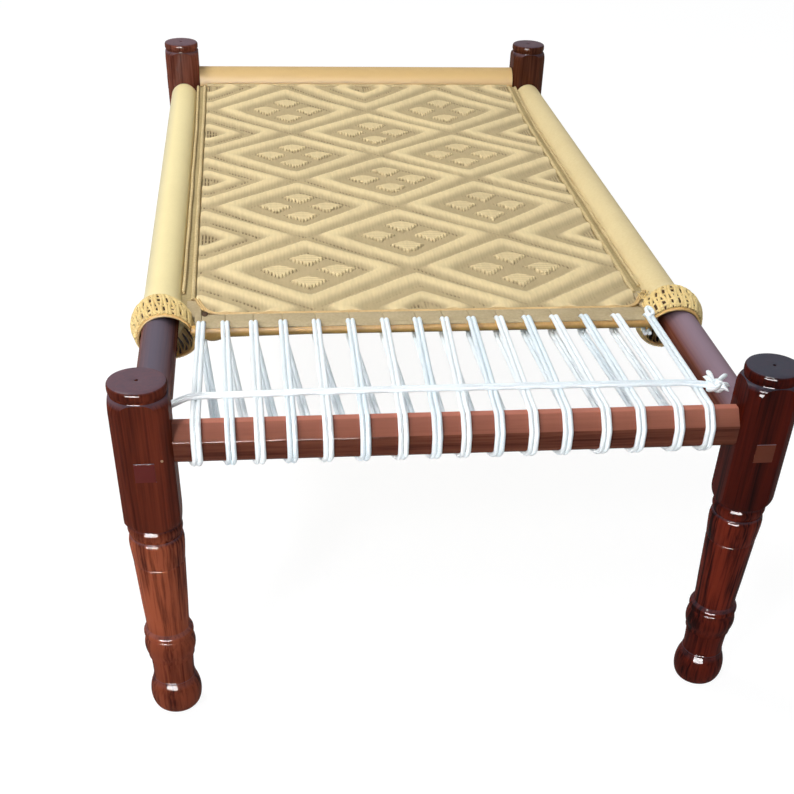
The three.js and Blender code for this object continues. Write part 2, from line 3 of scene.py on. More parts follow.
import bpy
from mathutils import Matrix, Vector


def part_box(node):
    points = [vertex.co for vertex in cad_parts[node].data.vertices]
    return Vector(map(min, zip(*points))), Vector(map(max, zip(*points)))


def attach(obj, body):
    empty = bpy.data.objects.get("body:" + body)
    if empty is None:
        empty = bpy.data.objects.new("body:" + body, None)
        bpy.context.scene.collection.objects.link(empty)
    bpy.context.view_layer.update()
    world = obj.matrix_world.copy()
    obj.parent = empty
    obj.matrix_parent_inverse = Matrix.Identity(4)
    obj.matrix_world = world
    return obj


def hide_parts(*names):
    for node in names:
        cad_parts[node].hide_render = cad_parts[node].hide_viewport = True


bl_info = {
    "name": "Charpai",
    "version": (1, 0, 0),
    "blender": (4, 5, 0),
    "location": "3D View > Sidebar > Charpai",
    "description": "Builds the detailed pieces of a charpai around its packed frame",
    "category": "Object",
}

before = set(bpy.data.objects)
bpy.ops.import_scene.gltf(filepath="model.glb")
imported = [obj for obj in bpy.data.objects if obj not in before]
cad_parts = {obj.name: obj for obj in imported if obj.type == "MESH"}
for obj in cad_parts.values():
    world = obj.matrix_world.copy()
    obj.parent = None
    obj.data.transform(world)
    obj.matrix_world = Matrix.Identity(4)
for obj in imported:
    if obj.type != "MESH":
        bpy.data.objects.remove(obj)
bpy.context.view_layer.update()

from math import cos, hypot, pi, radians, sin, tan

import bmesh
import bpy
import numpy as np
from bpy.props import FloatProperty, FloatVectorProperty, IntProperty, PointerProperty
from mathutils import Matrix, Vector

MM = 0.001
TAU = 2 * pi

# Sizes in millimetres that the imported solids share
RAIL_X = 418.5
FOOT_Y = -857.5
HEAD_Y = 857.5
SIDE_RAIL_Z = 432.0
SIDE_RAIL_RADIUS = 28
END_RAIL_Z = 460.0
END_HALF_WIDE, END_HALF_HIGH = 24.5, 25.5
TOP_CUT, UNDER_CUT = 18.5, 8
TENON_HALF_WIDE, TENON_HALF_HIGH = 13.5, 13.75
BLOCK_HALF = 38.0
JOINT = 0.3
REACH_X = RAIL_X - BLOCK_HALF - JOINT
REACH_Y = HEAD_Y - BLOCK_HALF - JOINT
PANEL_TOP = 448.0
PANEL_UNDER = 434.0
PANEL_HALF = 364.0
PANEL_FOOT_Y = -439.0
PANEL_HEAD_Y = 814.5
SELVEDGE_TOP = 440.0
SELVEDGE_HALF = 388.0
SELVEDGE_HEAD_Y = 828.0
BAND_HEAD_Y = -446.5
BAND_THICK = 6
ROLL_Y = -489.5
ROLL_Z = 438.0
ROLL_RADIUS = 10.0
CLIMB_Y = (522.3, 618.9, 715.6, 812.2)
CLIMB = (0.0, 1.8, 6.75, 15.0)
WRAP_BORE = 28.3
WRAP_RADIUS = 31.0
WRAP_TURN = 3.0
COLLAR_FOOT_Y = -470.5
COLLAR_LENGTH = {-1: 116.0, 1: 84.0}


def climb(y):
    """How far the bed rises towards the head rail, in millimetres."""
    return np.interp(y, CLIMB_Y, CLIMB)


def linear(colour):
    """An sRGB hex colour as linear red, green, blue and alpha. Anything else stays as it is."""
    if not isinstance(colour, str):
        return colour
    parts = [int(colour[i:i + 2], 16) / 255 for i in (1, 3, 5)]
    return tuple(c / 12.92 if c <= 0.04045 else ((c + 0.055) / 1.055) ** 2.4 for c in parts) + (1.0,)


def colour_property(name, colour):
    return FloatVectorProperty(name=name, description=f"Colour of this part: {name}", subtype="COLOR",
                               size=4, min=0, max=1, default=linear(colour))


class CharpaiWood(bpy.types.PropertyGroup):
    """Finish and fineness of the turned and planed wood"""
    left_dark: colour_property("Left legs, dark grain", "#32100A")
    left_red: colour_property("Left legs, light grain", "#6E2F1D")
    right_dark: colour_property("Right legs, dark grain", "#180403")
    right_red: colour_property("Right legs, light grain", "#521509")
    rail_dark: colour_property("Rails, dark grain", "#461F17")
    rail_red: colour_property("Rails, light grain", "#7E4835")
    # Painted reflection: a greyish sheen painted onto faces that look up, as if the lacquer mirrored the sky
    painted_sheen: colour_property("Left legs, sheen on faces that look up", "#6C5E69")
    pin: colour_property("Tenon pin", "#B98F68")
    sides: IntProperty(name="Turning sides", description="Sides of each turned surface",
                       default=96, min=24, max=192)


class CharpaiWeave(bpy.types.PropertyGroup):
    """Sizes and colours of the woven bed"""
    pitch: FloatProperty(name="Cord spacing", description="Distance between lengthwise cords, in millimetres",
                         default=6.0, min=4, max=12)
    relief: FloatProperty(name="Relief", description="Height of the raised bands, in millimetres",
                          default=5.2, min=0, max=7)
    light: colour_property("Cord where it lies on top", "#ECD6A4")
    # The recessed cord's greyer tone is partly its own and partly painted shade in the hollows between raised
    # bands
    middle: colour_property("Cord in the recessed fields", "#BEA980")
    # Painted shade: the dark brown painted into slots and gaps, where the weave falls in shade
    dark: colour_property("Slots where a cord dives under", "#54401F")
    wrap: colour_property("Cord on the left side rail", "#F9E7AE")
    head_wrap: colour_property("Cord on the head rail", "#CFAE7C")
    gold: colour_property("Cord roll", "#DDAF62")
    collar: colour_property("Corner collars", "#F6DC9A")
    band: colour_property("Flat band at the foot edge", "#C2AF8A")


class CharpaiLacing(bpy.types.PropertyGroup):
    """Size and colours of the white lacing"""
    diameter: FloatProperty(name="Cord diameter", description="Diameter of the lacing, in millimetres",
                            default=7.0, min=3, max=7)
    white: colour_property("Lacing", "#F8FDFF")
    # Painted shade: the blue-grey tone in the seams between strands
    shade: colour_property("Seams between the lacing's strands", "#BDD8E6")


# The three groups of settings

def wood():
    return bpy.context.scene.charpai_wood


def weave():
    return bpy.context.scene.charpai_weave


def lacing():
    return bpy.context.scene.charpai_lacing


# ---- Materials ----

UP = 2
# The weave's own attributes: how high its cord lies, and where a slot is, which is sunk and painted dark as
# shade
LAYERS = ("level", "slot")
# Wave texture scale that gives about one slanting band a metre
WAVE_PER_METRE = 0.314
# Heights in metres between which a leg's orange streaks fade out at the block and grow above the foot
BLOCK_FADE = (0.34, 0.31)
FOOT_FADE = (0.12, 0.17)


def feed(tree, node, inputs):
    """Gives a node's inputs, by name or place, a value, a colour or a link from a socket."""
    for key, value in inputs.items():
        if isinstance(value, bpy.types.NodeSocket):
            tree.links.new(value, node.inputs[key])
        else:
            node.inputs[key].default_value = linear(value)


def add_node(tree, kind, inputs=None, **settings):
    """Adds a shader node with its inputs and with settings for its own properties."""
    node = tree.nodes.new(f"ShaderNode{kind}")
    for key, value in settings.items():
        setattr(node, key, value)
    feed(tree, node, inputs or {})
    return node


def empty_tree(owner):
    """The emptied node tree of a new material or world."""
    owner.use_nodes = True
    owner.node_tree.nodes.clear()
    return owner.node_tree


def facing(tree, axis, low, high):
    """0 to 1 as the surface turns from one share to another towards an axis, such as 2 for up."""
    normal = add_node(tree, "NewGeometry").outputs["Normal"]
    parts = add_node(tree, "SeparateXYZ", {0: normal}).outputs
    return add_node(tree, "MapRange", {0: parts[axis], 1: low, 2: high}).outputs[0]


def paint(tree, shader, colour, coats):
    """Colours a shader. Each coat of (share, colour) lies over the last by its share."""
    for share, coat in coats:
        colour = add_node(tree, "Mix", {0: share, 6: colour, 7: coat}, data_type="RGBA").outputs[2]
    feed(tree, shader, {"Base Color": colour})


def lacquered_wood(tree, shader, dark, red, grain_axis, painted_sheen=None, painted_sheen_share=0.0, end=None, gold=None,
                   gloss=0.3):
    """Stained hardwood under lacquer: long dark streaks and small sharp lights.

    painted_sheen is a painted reflection: a greyish sheen where it looks up; end is the cut across the grain,
    gold the streaks of the shafts.
    """
    place = add_node(tree, "TexCoord").outputs["Object"]
    grain = []
    # Streaks 4 mm wide and 170 mm long, in bands 29 mm wide and 330 mm long
    for across, along, detail, rough, distortion in (
            (240.0, 6.0, 5.0, 0.6, 0.3), (240.0 / 7, 3.0, 2.0, 0.5, 0.0)):
        scale = [across] * 3
        scale[grain_axis] = along
        stretched = add_node(tree, "Mapping", {0: place, "Scale": scale}).outputs[0]
        grain.append(add_node(tree, "TexNoise", {"Vector": stretched, "Scale": 1.0, "Detail": detail,
                                                 "Roughness": rough, "Distortion": distortion}).outputs["Fac"])
    mixed = add_node(tree, "Math", dict(enumerate(grain)), operation="ADD").outputs[0]
    coats = [(add_node(tree, "MapRange", {0: mixed, 1: 0.72, 2: 1.26}).outputs[0], red)]
    if gold:
        height = add_node(tree, "SeparateXYZ", {0: place}).outputs[2]
        share = add_node(tree, "MapRange", {0: mixed, 1: 0.84, 2: 1.16, 4: 0.85}).outputs[0]
        for (start, full), least in ((BLOCK_FADE, 0.0), (FOOT_FADE, 0.4)):
            fade = add_node(tree, "MapRange", {0: height, 1: start, 2: full, 3: least}).outputs[0]
            share = add_node(tree, "Math", {0: fade, 1: share}, operation="MULTIPLY").outputs[0]
        coats.append((share, gold))
    if end:
        coats += [(facing(tree, grain_axis, 0.8 * sign, 0.95 * sign), end) for sign in (1, -1)]
    # Painted reflection: faces that look up are mixed towards the sheen colour
    if painted_sheen:
        up = facing(tree, UP, 0.35, 1.0)
        coats.append((add_node(tree, "Math", {0: up, 1: painted_sheen_share}, operation="MULTIPLY").outputs[0], painted_sheen))
    paint(tree, shader, dark, coats)
    raised = add_node(tree, "Bump", {"Height": grain[0], "Strength": 0.1, "Distance": 0.3 * MM}).outputs[0]
    feed(tree, shader, {"Normal": raised, "Roughness": gloss, "Specular IOR Level": 0.0,
                        "Coat Weight": 0.09, "Coat Roughness": 0.06})


def twist(tree, shader, place, spacing, strength):
    """Fine twisted yarn: slanting strands whose spacing is given in millimetres, with fuzz of 1 mm."""
    strands = add_node(tree, "TexWave", {"Vector": place, "Scale": WAVE_PER_METRE / (spacing * MM),
                                         "Distortion": 2.0, "Detail": 1.0},
                       wave_type="BANDS", bands_direction="DIAGONAL").outputs["Fac"]
    fuzz = add_node(tree, "TexNoise", {"Vector": place, "Scale": 900.0, "Detail": 2.0}).outputs["Fac"]
    height = add_node(tree, "Math", {0: strands, 1: fuzz}, operation="ADD").outputs[0]
    raised = add_node(tree, "Bump", {"Height": height, "Strength": strength, "Distance": 0.35 * MM}).outputs[0]
    feed(tree, shader, {"Normal": raised})


def woven_cord(tree, shader, light, middle, dark):
    """Cotton and nylon cord woven flat: raised cord is pale, recessed cord greyer, partly as painted shade,
    and gaps are painted dark brown as shade.
    """
    place = add_node(tree, "TexCoord").outputs["Object"]
    level, slot = (add_node(tree, "Attribute", attribute_name=key).outputs["Fac"] for key in LAYERS)
    # Patches of 125 mm, and fibres 6 mm wide and 40 mm long, which a real cord has finer
    patches = add_node(tree, "TexNoise", {"Vector": place, "Scale": 8.0, "Detail": 2.0}).outputs["Fac"]
    stretched = add_node(tree, "Mapping", {0: place, "Scale": (170.0, 25.0, 170.0)}).outputs[0]
    fibres = add_node(tree, "TexNoise", {"Vector": stretched, "Scale": 1.0, "Detail": 2.0}).outputs["Fac"]
    vary = add_node(tree, "Math", {0: patches, 1: fibres}, operation="ADD").outputs[0]
    tone = add_node(tree, "MapRange", {0: vary, 1: 0.7, 2: 1.3, 3: 0.93, 4: 1.07}).outputs[0]
    cord = add_node(tree, "Mix", {0: level, 6: middle, 7: light}, data_type="RGBA").outputs[2]
    toned = add_node(tree, "HueSaturation", {"Color": cord, "Value": tone}).outputs[0]
    # Painted shade: slots are painted towards the dark brown
    paint(tree, shader, toned, [(slot, dark)])
    twist(tree, shader, place, 2.2, 0.15)
    feed(tree, shader, {"Roughness": 0.7, "Specular IOR Level": 0.12})


def wound_cord(tree, shader, light, dark, roughness, contrast, *lighting_tints):
    """Cord laid in close turns: satin, uneven from turn to turn, with painted light and shade on the sides
    that the lighting tints name.

    Each lighting tint is (axis, low, high, colour): it grows as the surface turns from low to high towards the
    axis.
    """
    place = add_node(tree, "TexCoord").outputs["Object"]
    # Patches of 70 mm, and changes from turn to turn of 4.5 mm
    patches = add_node(tree, "TexNoise", {"Vector": place, "Scale": 14.0, "Detail": 3.0}).outputs["Fac"]
    turns = add_node(tree, "TexNoise", {"Vector": place, "Scale": 220.0, "Detail": 1.0}).outputs["Fac"]
    vary = add_node(tree, "Math", {0: patches, 1: turns}, operation="ADD").outputs[0]
    tone = add_node(tree, "MapRange", {0: vary, 1: 0.65, 2: 1.35, 3: 1 - contrast}).outputs[0]
    sides = [(facing(tree, axis, low, high), lighting_tint) for axis, low, high, lighting_tint in lighting_tints]
    paint(tree, shader, dark, [(tone, light), *sides])
    twist(tree, shader, place, 2.0, 0.12)
    feed(tree, shader, {"Roughness": roughness, "Specular IOR Level": 0.15})


def braided_cord(tree, shader, white, seam_shade):
    """White braided cord: fine crossing strands that follow the cord, with soft blue-grey painted shade in the
    seams.
    """
    place = add_node(tree, "UVMap", uv_map="UVMap").outputs[0]
    along, around, _ = add_node(tree, "SeparateXYZ", {0: place}).outputs
    waves = []
    for strands in (4.0, -4.0):
        lean = add_node(tree, "Math", {0: around, 1: strands}, operation="MULTIPLY").outputs[0]
        phase = add_node(tree, "Math", {0: along, 1: lean}, operation="ADD").outputs[0]
        angle = add_node(tree, "Math", {0: phase, 1: TAU}, operation="MULTIPLY").outputs[0]
        waves.append(add_node(tree, "Math", {0: angle}, operation="SINE").outputs[0])
    top = add_node(tree, "Math", dict(enumerate(waves)), operation="MAXIMUM").outputs[0]
    # Strands are white over the upper half of their wave, and only the seams between them are painted a
    # blue-grey shade
    crown = add_node(tree, "MapRange", {0: top, 1: -1.0, 2: -0.1}).outputs[0]
    paint(tree, shader, seam_shade, [(crown, white)])
    height = add_node(tree, "MapRange", {0: top, 1: -1.0, 2: 1.0}).outputs[0]
    raised = add_node(tree, "Bump", {"Height": height, "Strength": 0.2, "Distance": 0.4 * MM}).outputs[0]
    feed(tree, shader, {"Normal": raised, "Roughness": 0.6, "Specular IOR Level": 0.3})


MATERIALS = {}


def recipe(key):
    """The name of a finish, the function that dresses its shader, and the values for it."""
    w, c = wood(), weave()
    # Painted shade on faces that look down
    under = (UP, 0.35, -0.75)
    # Dark and light grain, its axis, the painted sheen (a painted reflection on faces that look up) and its
    # share, the end grain, the orange streaks
    woods = {
        "left_leg": (w.left_dark, w.left_red, 2, w.painted_sheen, 0.7, None, "#AE5A3C"),
        "right_leg": (w.right_dark, w.right_red, 2, "#4A4C57", 0.85, None, "#7E2D1B"),
        "rear_left_leg": ("#431A10", "#8A5040", 2, w.painted_sheen, 0.7),
        "rear_right_leg": ("#30110A", "#663A26", 2, w.painted_sheen, 0.7),
        "left_rail": (w.rail_dark, w.rail_red, 1, "#665F6C", 0.9, "#662B27"),
        "right_rail": (w.rail_dark, w.rail_red, 1, "#988390", 0.9, "#6A3828"),
        "end_rail": (w.rail_dark, w.rail_red, 0, "#C67E6A", 0.8, w.right_red),
    }
    # Name, light and dark cord, roughness, contrast, lighting tints of painted light and shade
    cords = {
        # Painted shade on the side that faces left
        "wrap": ("Close_wound_cord", c.wrap, "#F0DEA5", 0.55, 0.5, (0, -0.3, -0.95, "#D6CAA2")),
        # Painted shade: the right rail's cord is a darker copy of the left rail's
        "right_wrap": ("Close_wound_tan_cord", "#E8D4A1", "#D9C18C", 0.55, 0.5),
        # Painted light on the side that faces the foot
        "head_wrap": ("Close_wound_head_cord", c.head_wrap, "#BB9862", 0.55, 0.5, (1, 0.1, -0.9, "#E6C180")),
        "border": ("Border_cord", "#DCC694", "#B39A68", 0.7, 0.7),
        "selvedge": ("Selvedge_cord", "#BCA97A", "#9A875C", 0.75, 0.7),
        "gold": ("Golden_cord", c.gold, "#C28E46", 0.45, 0.6, (*under, "#6E5A2C")),
        "piping": ("Golden_piping_cord", "#E0C189", "#C29D63", 0.6, 0.6),
        "collar": ("Golden_collar_cord", c.collar, "#D9B46C", 0.6, 0.6, (*under, "#8A7136")),
        "rim": ("Golden_rim_cord", "#EBC27A", "#CB9A50", 0.5, 0.6, (*under, "#7A6130")),
        # Painted shade: a dark inside for the collars and the corner opening
        "hollow": ("Shaded_inner_cord", "#53371A", "#33200F", 0.8, 0.7),
        "band": ("Plain_band_cord", c.band, "#A8946E", 0.7, 0.7),
    }
    others = {
        "pin": ("Bare_pin_wood", lacquered_wood, "#8A6644", w.pin, 1, None, 0, None, None, 0.5),
        "weave": ("Woven_bed_cord", woven_cord, c.light, c.middle, c.dark),
        "white": ("White_braided_cord", braided_cord, lacing().white, lacing().shade),
    }
    if key in woods:
        return (f"Lacquered_{key}_wood", lacquered_wood, *woods[key])
    if key in cords:
        name, *values = cords[key]
        return (name, wound_cord, *values)
    return others[key]


def material(key):
    """The finish of that name, made when it is first used."""
    if key not in MATERIALS:
        name, dress, *values = recipe(key)
        MATERIALS[key] = bpy.data.materials.new(name)
        tree = empty_tree(MATERIALS[key])
        shader = add_node(tree, "BsdfPrincipled")
        add_node(tree, "OutputMaterial", {"Surface": shader.outputs["BSDF"]})
        dress(tree, shader, *values)
    return MATERIALS[key]


# ---- Shape helpers ----

def arc(start, end, steps):
    """The cosine and sine at even steps from one angle to another."""
    return [(cos(a), sin(a)) for a in np.linspace(start, end, steps + 1)]


def quarter(start, end, leaves_upright, steps=8):
    """Points on a quarter ellipse between two (radius, height) places, the first left out."""
    points = []
    for c, s in arc(0, pi / 2, steps)[1:]:
        across, up = (1 - c, s) if leaves_upright else (s, 1 - c)
        points.append((start[0] + (end[0] - start[0]) * across, start[1] + (end[1] - start[1]) * up))
    return points


def swelling(radius, full, low, high, steps=14):
    """Points on a half ellipse that stands out from a radius between two heights."""
    return [(radius + (full - radius) * sin(i / steps * pi), low + (high - low) * i / steps)
            for i in range(steps + 1)]


def wound(radius, groove, low, high, turns):
    """Points along close turns of cord, with a groove between each two."""
    return [(radius - (groove if i % 2 == 0 else 0.0), low + (high - low) * i / turns / 2)
            for i in range(turns * 2 + 1)]


def once(items):
    """The items in their order, each once."""
    return list(dict.fromkeys(items))


def spin(bm, geom, axis, angle, steps):
    """Turns parts of a bmesh about an axis through the origin, and joins what meets."""
    bmesh.ops.spin(bm, geom=geom, cent=(0, 0, 0), axis=axis, dvec=(0, 0, 0), angle=angle, steps=steps,
                   use_merge=angle == TAU, use_duplicate=False)
    bmesh.ops.remove_doubles(bm, verts=bm.verts, dist=0.001)


def spun(points, sides, axis="Z", centre=(0, 0, 0), closed=False):
    """A bmesh of a (radius, place) outline turned about an axis through a centre, in millimetres."""
    bm = bmesh.new()
    verts = [bm.verts.new((r, 0, h)) for r, h in points]
    pairs = list(zip(verts, verts[1:])) + ([(verts[-1], verts[0])] if closed else [])
    edges = [bm.edges.new(pair) for pair in pairs]
    spin(bm, verts + edges, (0, 0, 1), TAU, sides)
    turn = {"X": Matrix.Rotation(pi / 2, 4, "Y"), "Y": Matrix.Rotation(-pi / 2, 4, "X"),
            "Z": Matrix.Identity(4)}[axis]
    bmesh.ops.transform(bm, matrix=Matrix.Translation(centre) @ turn, verts=bm.verts)
    bmesh.ops.recalc_face_normals(bm, faces=bm.faces)
    return bm


def soften(bm, edges, width):
    bmesh.ops.bevel(bm, geom=edges, offset=width, affect="EDGES", segments=2, profile=0.5, material=-1)


def add_box(bm, low, high, bevel=0.0):
    """A box in a bmesh, with its edges rounded."""
    size = [h - l for l, h in zip(low, high)]
    middle = [(h + l) / 2 for l, h in zip(low, high)]
    matrix = Matrix.Translation(middle) @ Matrix.Diagonal(size + [1])
    made = bmesh.ops.create_cube(bm, size=1, matrix=matrix)
    if bevel:
        soften(bm, once(e for v in made["verts"] for e in v.link_edges), bevel)


def add_prism(bm, x0, x1, outline):
    """Draws an outline of (y, z) places out along X in a bmesh, and gives the vertices."""
    face = bm.faces.new([bm.verts.new((x0, y, z)) for y, z in outline])
    made = bmesh.ops.extrude_face_region(bm, geom=[face])
    far = [g for g in made["geom"] if isinstance(g, bmesh.types.BMVert)]
    bmesh.ops.translate(bm, vec=(x1 - x0, 0, 0), verts=far)
    return [*face.verts, *far]


def bent_plate(bm, x0, x1, upper, lower, bevel=0.0):
    """A plate along X in a bmesh, between an upper and a lower line of (y, z) places."""
    corners = add_prism(bm, x0, x1, [*upper, *reversed(lower)])
    if bevel:
        soften(bm, once(e for v in corners for e in v.link_edges if e.calc_face_angle(0.0) > 0.8), bevel)
    bmesh.ops.recalc_face_normals(bm, faces=bm.faces)


def shade(bm, mesh, sharp):
    """Writes a bmesh into a mesh, smooth but for edges sharper than an angle in degrees."""
    for face in bm.faces:
        face.smooth = True
    for edge in bm.edges:
        edge.smooth = edge.calc_face_angle(0.0) < radians(sharp)
    bm.to_mesh(mesh)
    bm.free()
    return mesh


def to_mesh(bm, name, sharp=35.0):
    """Ends a bmesh in millimetres as a mesh in metres."""
    bmesh.ops.scale(bm, vec=(MM, MM, MM), verts=bm.verts)
    return shade(bm, bpy.data.meshes.new(name), sharp)


def add_object(name, data):
    obj = bpy.data.objects.new(name, data)
    bpy.context.scene.collection.objects.link(obj)
    return obj


def piece(name, mesh, finish, slot, *nodes):
    """Adds a finished mesh as a piece that stands for its CAD nodes."""
    obj = add_object(name, mesh)
    mesh.materials.clear()
    mesh.materials.append(material(finish))
    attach(obj, "root")
    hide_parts(*nodes)


def rounded(points, radius, steps=4):
    """A route in millimetres whose corners are eased over a length on each side."""
    route = [points[0]]
    for before, corner, after in zip(points, points[1:], points[2:]):
        start, end = (corner + arm.normalized() * min(radius, arm.length * 0.45)
                      for arm in (before - corner, after - corner))
        for i in range(steps + 1):
            t = i / steps
            route.append(start * (1 - t) ** 2 + corner * (2 * t * (1 - t)) + end * t ** 2)
    return route + [points[-1]]


def even(points, spacing):
    """The same route with points at an even spacing, and its length."""
    lengths = [0.0]
    for a, b in zip(points, points[1:]):
        lengths.append(lengths[-1] + (b - a).length)
    places = np.linspace(0, lengths[-1], max(2, round(lengths[-1] / spacing)) + 1)
    data = np.array([tuple(p) for p in points])
    columns = [np.interp(places, lengths, data[:, k]) for k in range(3)]
    return [Vector(p) for p in zip(*columns)], lengths[-1]


def tube_mesh(name, routes, spacing=4.0, resolution=3, pattern=4.0):
    """Tubes along routes of (points, radius, its share at the ends), in millimetres.

    Along a tube, U grows by one every pattern millimetres.
    """
    joined = bmesh.new()
    for points, radius, ends in routes:
        route, length = even(points, spacing)
        curve = bpy.data.curves.new(name, "CURVE")
        curve.dimensions = "3D"
        curve.bevel_depth = radius * MM
        curve.bevel_resolution = resolution
        curve.use_fill_caps = True
        spline = curve.splines.new("POLY")
        last = len(route) - 1
        spline.points.add(last)
        for i, (point, place) in enumerate(zip(spline.points, route)):
            point.co = (*(place * MM), 1)
            inward = min(i, last - i) * spacing / (2 * radius)
            point.radius = ends + (1 - ends) * min(1.0, inward)
        obj = bpy.data.objects.new(name, curve)
        mesh = bpy.data.meshes.new_from_object(obj)
        for entry in mesh.uv_layers[0].data:
            entry.uv = (entry.uv[1] * length / pattern, entry.uv[0])
        joined.from_mesh(mesh)
        bpy.data.objects.remove(obj)
        bpy.data.curves.remove(curve)
        bpy.data.meshes.remove(mesh)
    return shade(joined, bpy.data.meshes.new(name), 60)


# ---- Legs and rails ----

BLOCK_FOOT_Z, BLOCK_TOP_Z = 338, 529
MORTISE_REACH = 60
# How deep a tenon starts in its rail, and where it ends past the middle of its leg
TENON_ROOT, TENON_END = 5, BLOCK_HALF + 1
# The pin's (radius, place) outline, from its end in the tenon to its slightly domed head
PIN_OUTLINE = ((0, 20), (2, 20), (2, 0.3), (1.7, -0.1), (1, -0.4), (0, -0.5))


def leg_outline():
    """A leg's turned outline, from the middle of its foot to the middle of its top."""
    return [
        (0, 0), (25.5, 0), (27, 1),
        *quarter((27, 1), (38.5, 27), False),
        *((38.5 * cos(a), 27 + 48.9 * sin(a)) for a in np.linspace(0.08, 0.635, 8)),
        # Neck
        (31.8, 57), (31.8, 58.2), (31, 59), (30.6, 60), (31, 62), (30.5, 64), (30.6, 75), (31, 85),
        (31.6, 95), (31.2, 97), (32.6, 98), (34, 100), (34.2, 103), (34, 104.5),
        # Ring and lip
        *swelling(34.2, 37.5, 105, 137),
        (34.2, 138), (34.4, 140), (36.2, 141), (35.8, 142), (36.4, 143), (36.2, 146), (35, 149), (32.4, 152),
        # Shaft
        (31.2, 154), (31.6, 170), (33, 196), (34.6, 235), (36, 268), (35.8, 271), (35.2, 272), (36.1, 273.5),
        (37.4, 288), (38.3, 300), (38.4, 307), (37.5, 313), (36, 316), (34.8, 317),
        # Bead and block
        *swelling(35, 38, 318, 337),
        (36.2, BLOCK_FOOT_Z), *quarter((36.2, BLOCK_FOOT_Z), (45, 353), False),
        (45, 400), (45, 455), (45, 512), *quarter((45, 512), (36.5, 528), True),
        # Disc top with the hole of the lathe's centre
        (36, 529.5), (36.2, 531), (37.4, 532), (38.3, 533.5), (38.5, 535.5), (38.5, 539.5), (38.1, 541.8),
        (37, 543.6), (34.8, 544.7), (30, 545), (12, 545), (3, 544.8), (2.3, 544.4), (2.1, 540.5), (0, 540),
    ]


def leg_mesh():
    """The turned post with four flats cut on its block and its two crossing mortises."""
    bm = spun(leg_outline(), wood().sides)
    for axis in (Vector((1, 0, 0)), Vector((0, 1, 0))):
        for side in (1, -1):
            block = [f for f in bm.faces if BLOCK_FOOT_Z - 0.1 < f.calc_center_median().z < BLOCK_TOP_Z]
            geom = once(g for f in block for g in (*f.verts, *f.edges, f))
            bmesh.ops.bisect_plane(bm, geom=geom, plane_co=axis * side * BLOCK_HALF, plane_no=axis * side,
                                   clear_outer=True, dist=0.0005)
            bmesh.ops.holes_fill(bm, edges=[e for e in bm.edges if e.is_boundary], sides=0)
    leg = add_object("leg", to_mesh(bm, "leg"))
    made = [leg]
    wide, high = TENON_HALF_WIDE + JOINT, TENON_HALF_HIGH + JOINT
    for name, x, y, z in (("side_mortise", wide, MORTISE_REACH, SIDE_RAIL_Z),
                          ("end_mortise", MORTISE_REACH, wide, END_RAIL_Z)):
        bm = bmesh.new()
        add_box(bm, (-x, -y, z - high), (x, y, z + high))
        made.append(add_object(name, to_mesh(bm, name)))
        cut = leg.modifiers.new(name, "BOOLEAN")
        cut.operation, cut.solver, cut.object = "DIFFERENCE", "EXACT", made[-1]
    bpy.context.view_layer.update()
    result = bpy.data.meshes.new_from_object(leg.evaluated_get(bpy.context.evaluated_depsgraph_get()))
    for obj in made:
        bpy.data.objects.remove(obj)
    bm = bmesh.new()
    bm.from_mesh(result)
    return shade(bm, result, 30)


class CHARPAI_OT_legs(bpy.types.Operator):
    """Build the four turned legs and the pin in the front left one"""
    bl_idname = "charpai.legs"
    bl_label = "Legs"

    def execute(self, context):
        base = leg_mesh()
        for name, x, y in (("front_left", -1, FOOT_Y), ("front_right", 1, FOOT_Y),
                           ("rear_left", -1, HEAD_Y), ("rear_right", 1, HEAD_Y)):
            mesh = base.copy()
            mesh.transform(Matrix.Translation((x * RAIL_X * MM, y * MM, 0)))
            finish = name.replace("front_", "") + "_leg"
            piece(f"{name}_turned_leg", mesh, finish, "leg_wood", f"{name}_leg")
        low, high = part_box("front_left_tenon_pin")
        x, z = (low[0] + high[0]) / 2 / MM, (low[2] + high[2]) / 2 / MM
        pin = spun(PIN_OUTLINE, 24, "Y", (x, FOOT_Y - BLOCK_HALF, z))
        piece("front_left_pin", to_mesh(pin, "pin"), "pin", "pin_wood", "front_left_tenon_pin")
        return {"FINISHED"}


def add_tenons(bm, axis, reach, tip, centre):
    """Adds a tenon at each end of a rail that lies along an axis."""
    half = Vector((TENON_HALF_WIDE, TENON_HALF_WIDE, TENON_HALF_HIGH))
    for low, high in ((-tip, TENON_ROOT - reach), (reach - TENON_ROOT, tip)):
        first, second = Vector(centre) - half, Vector(centre) + half
        first[axis], second[axis] = low, high
        add_box(bm, first, second, 0.6)


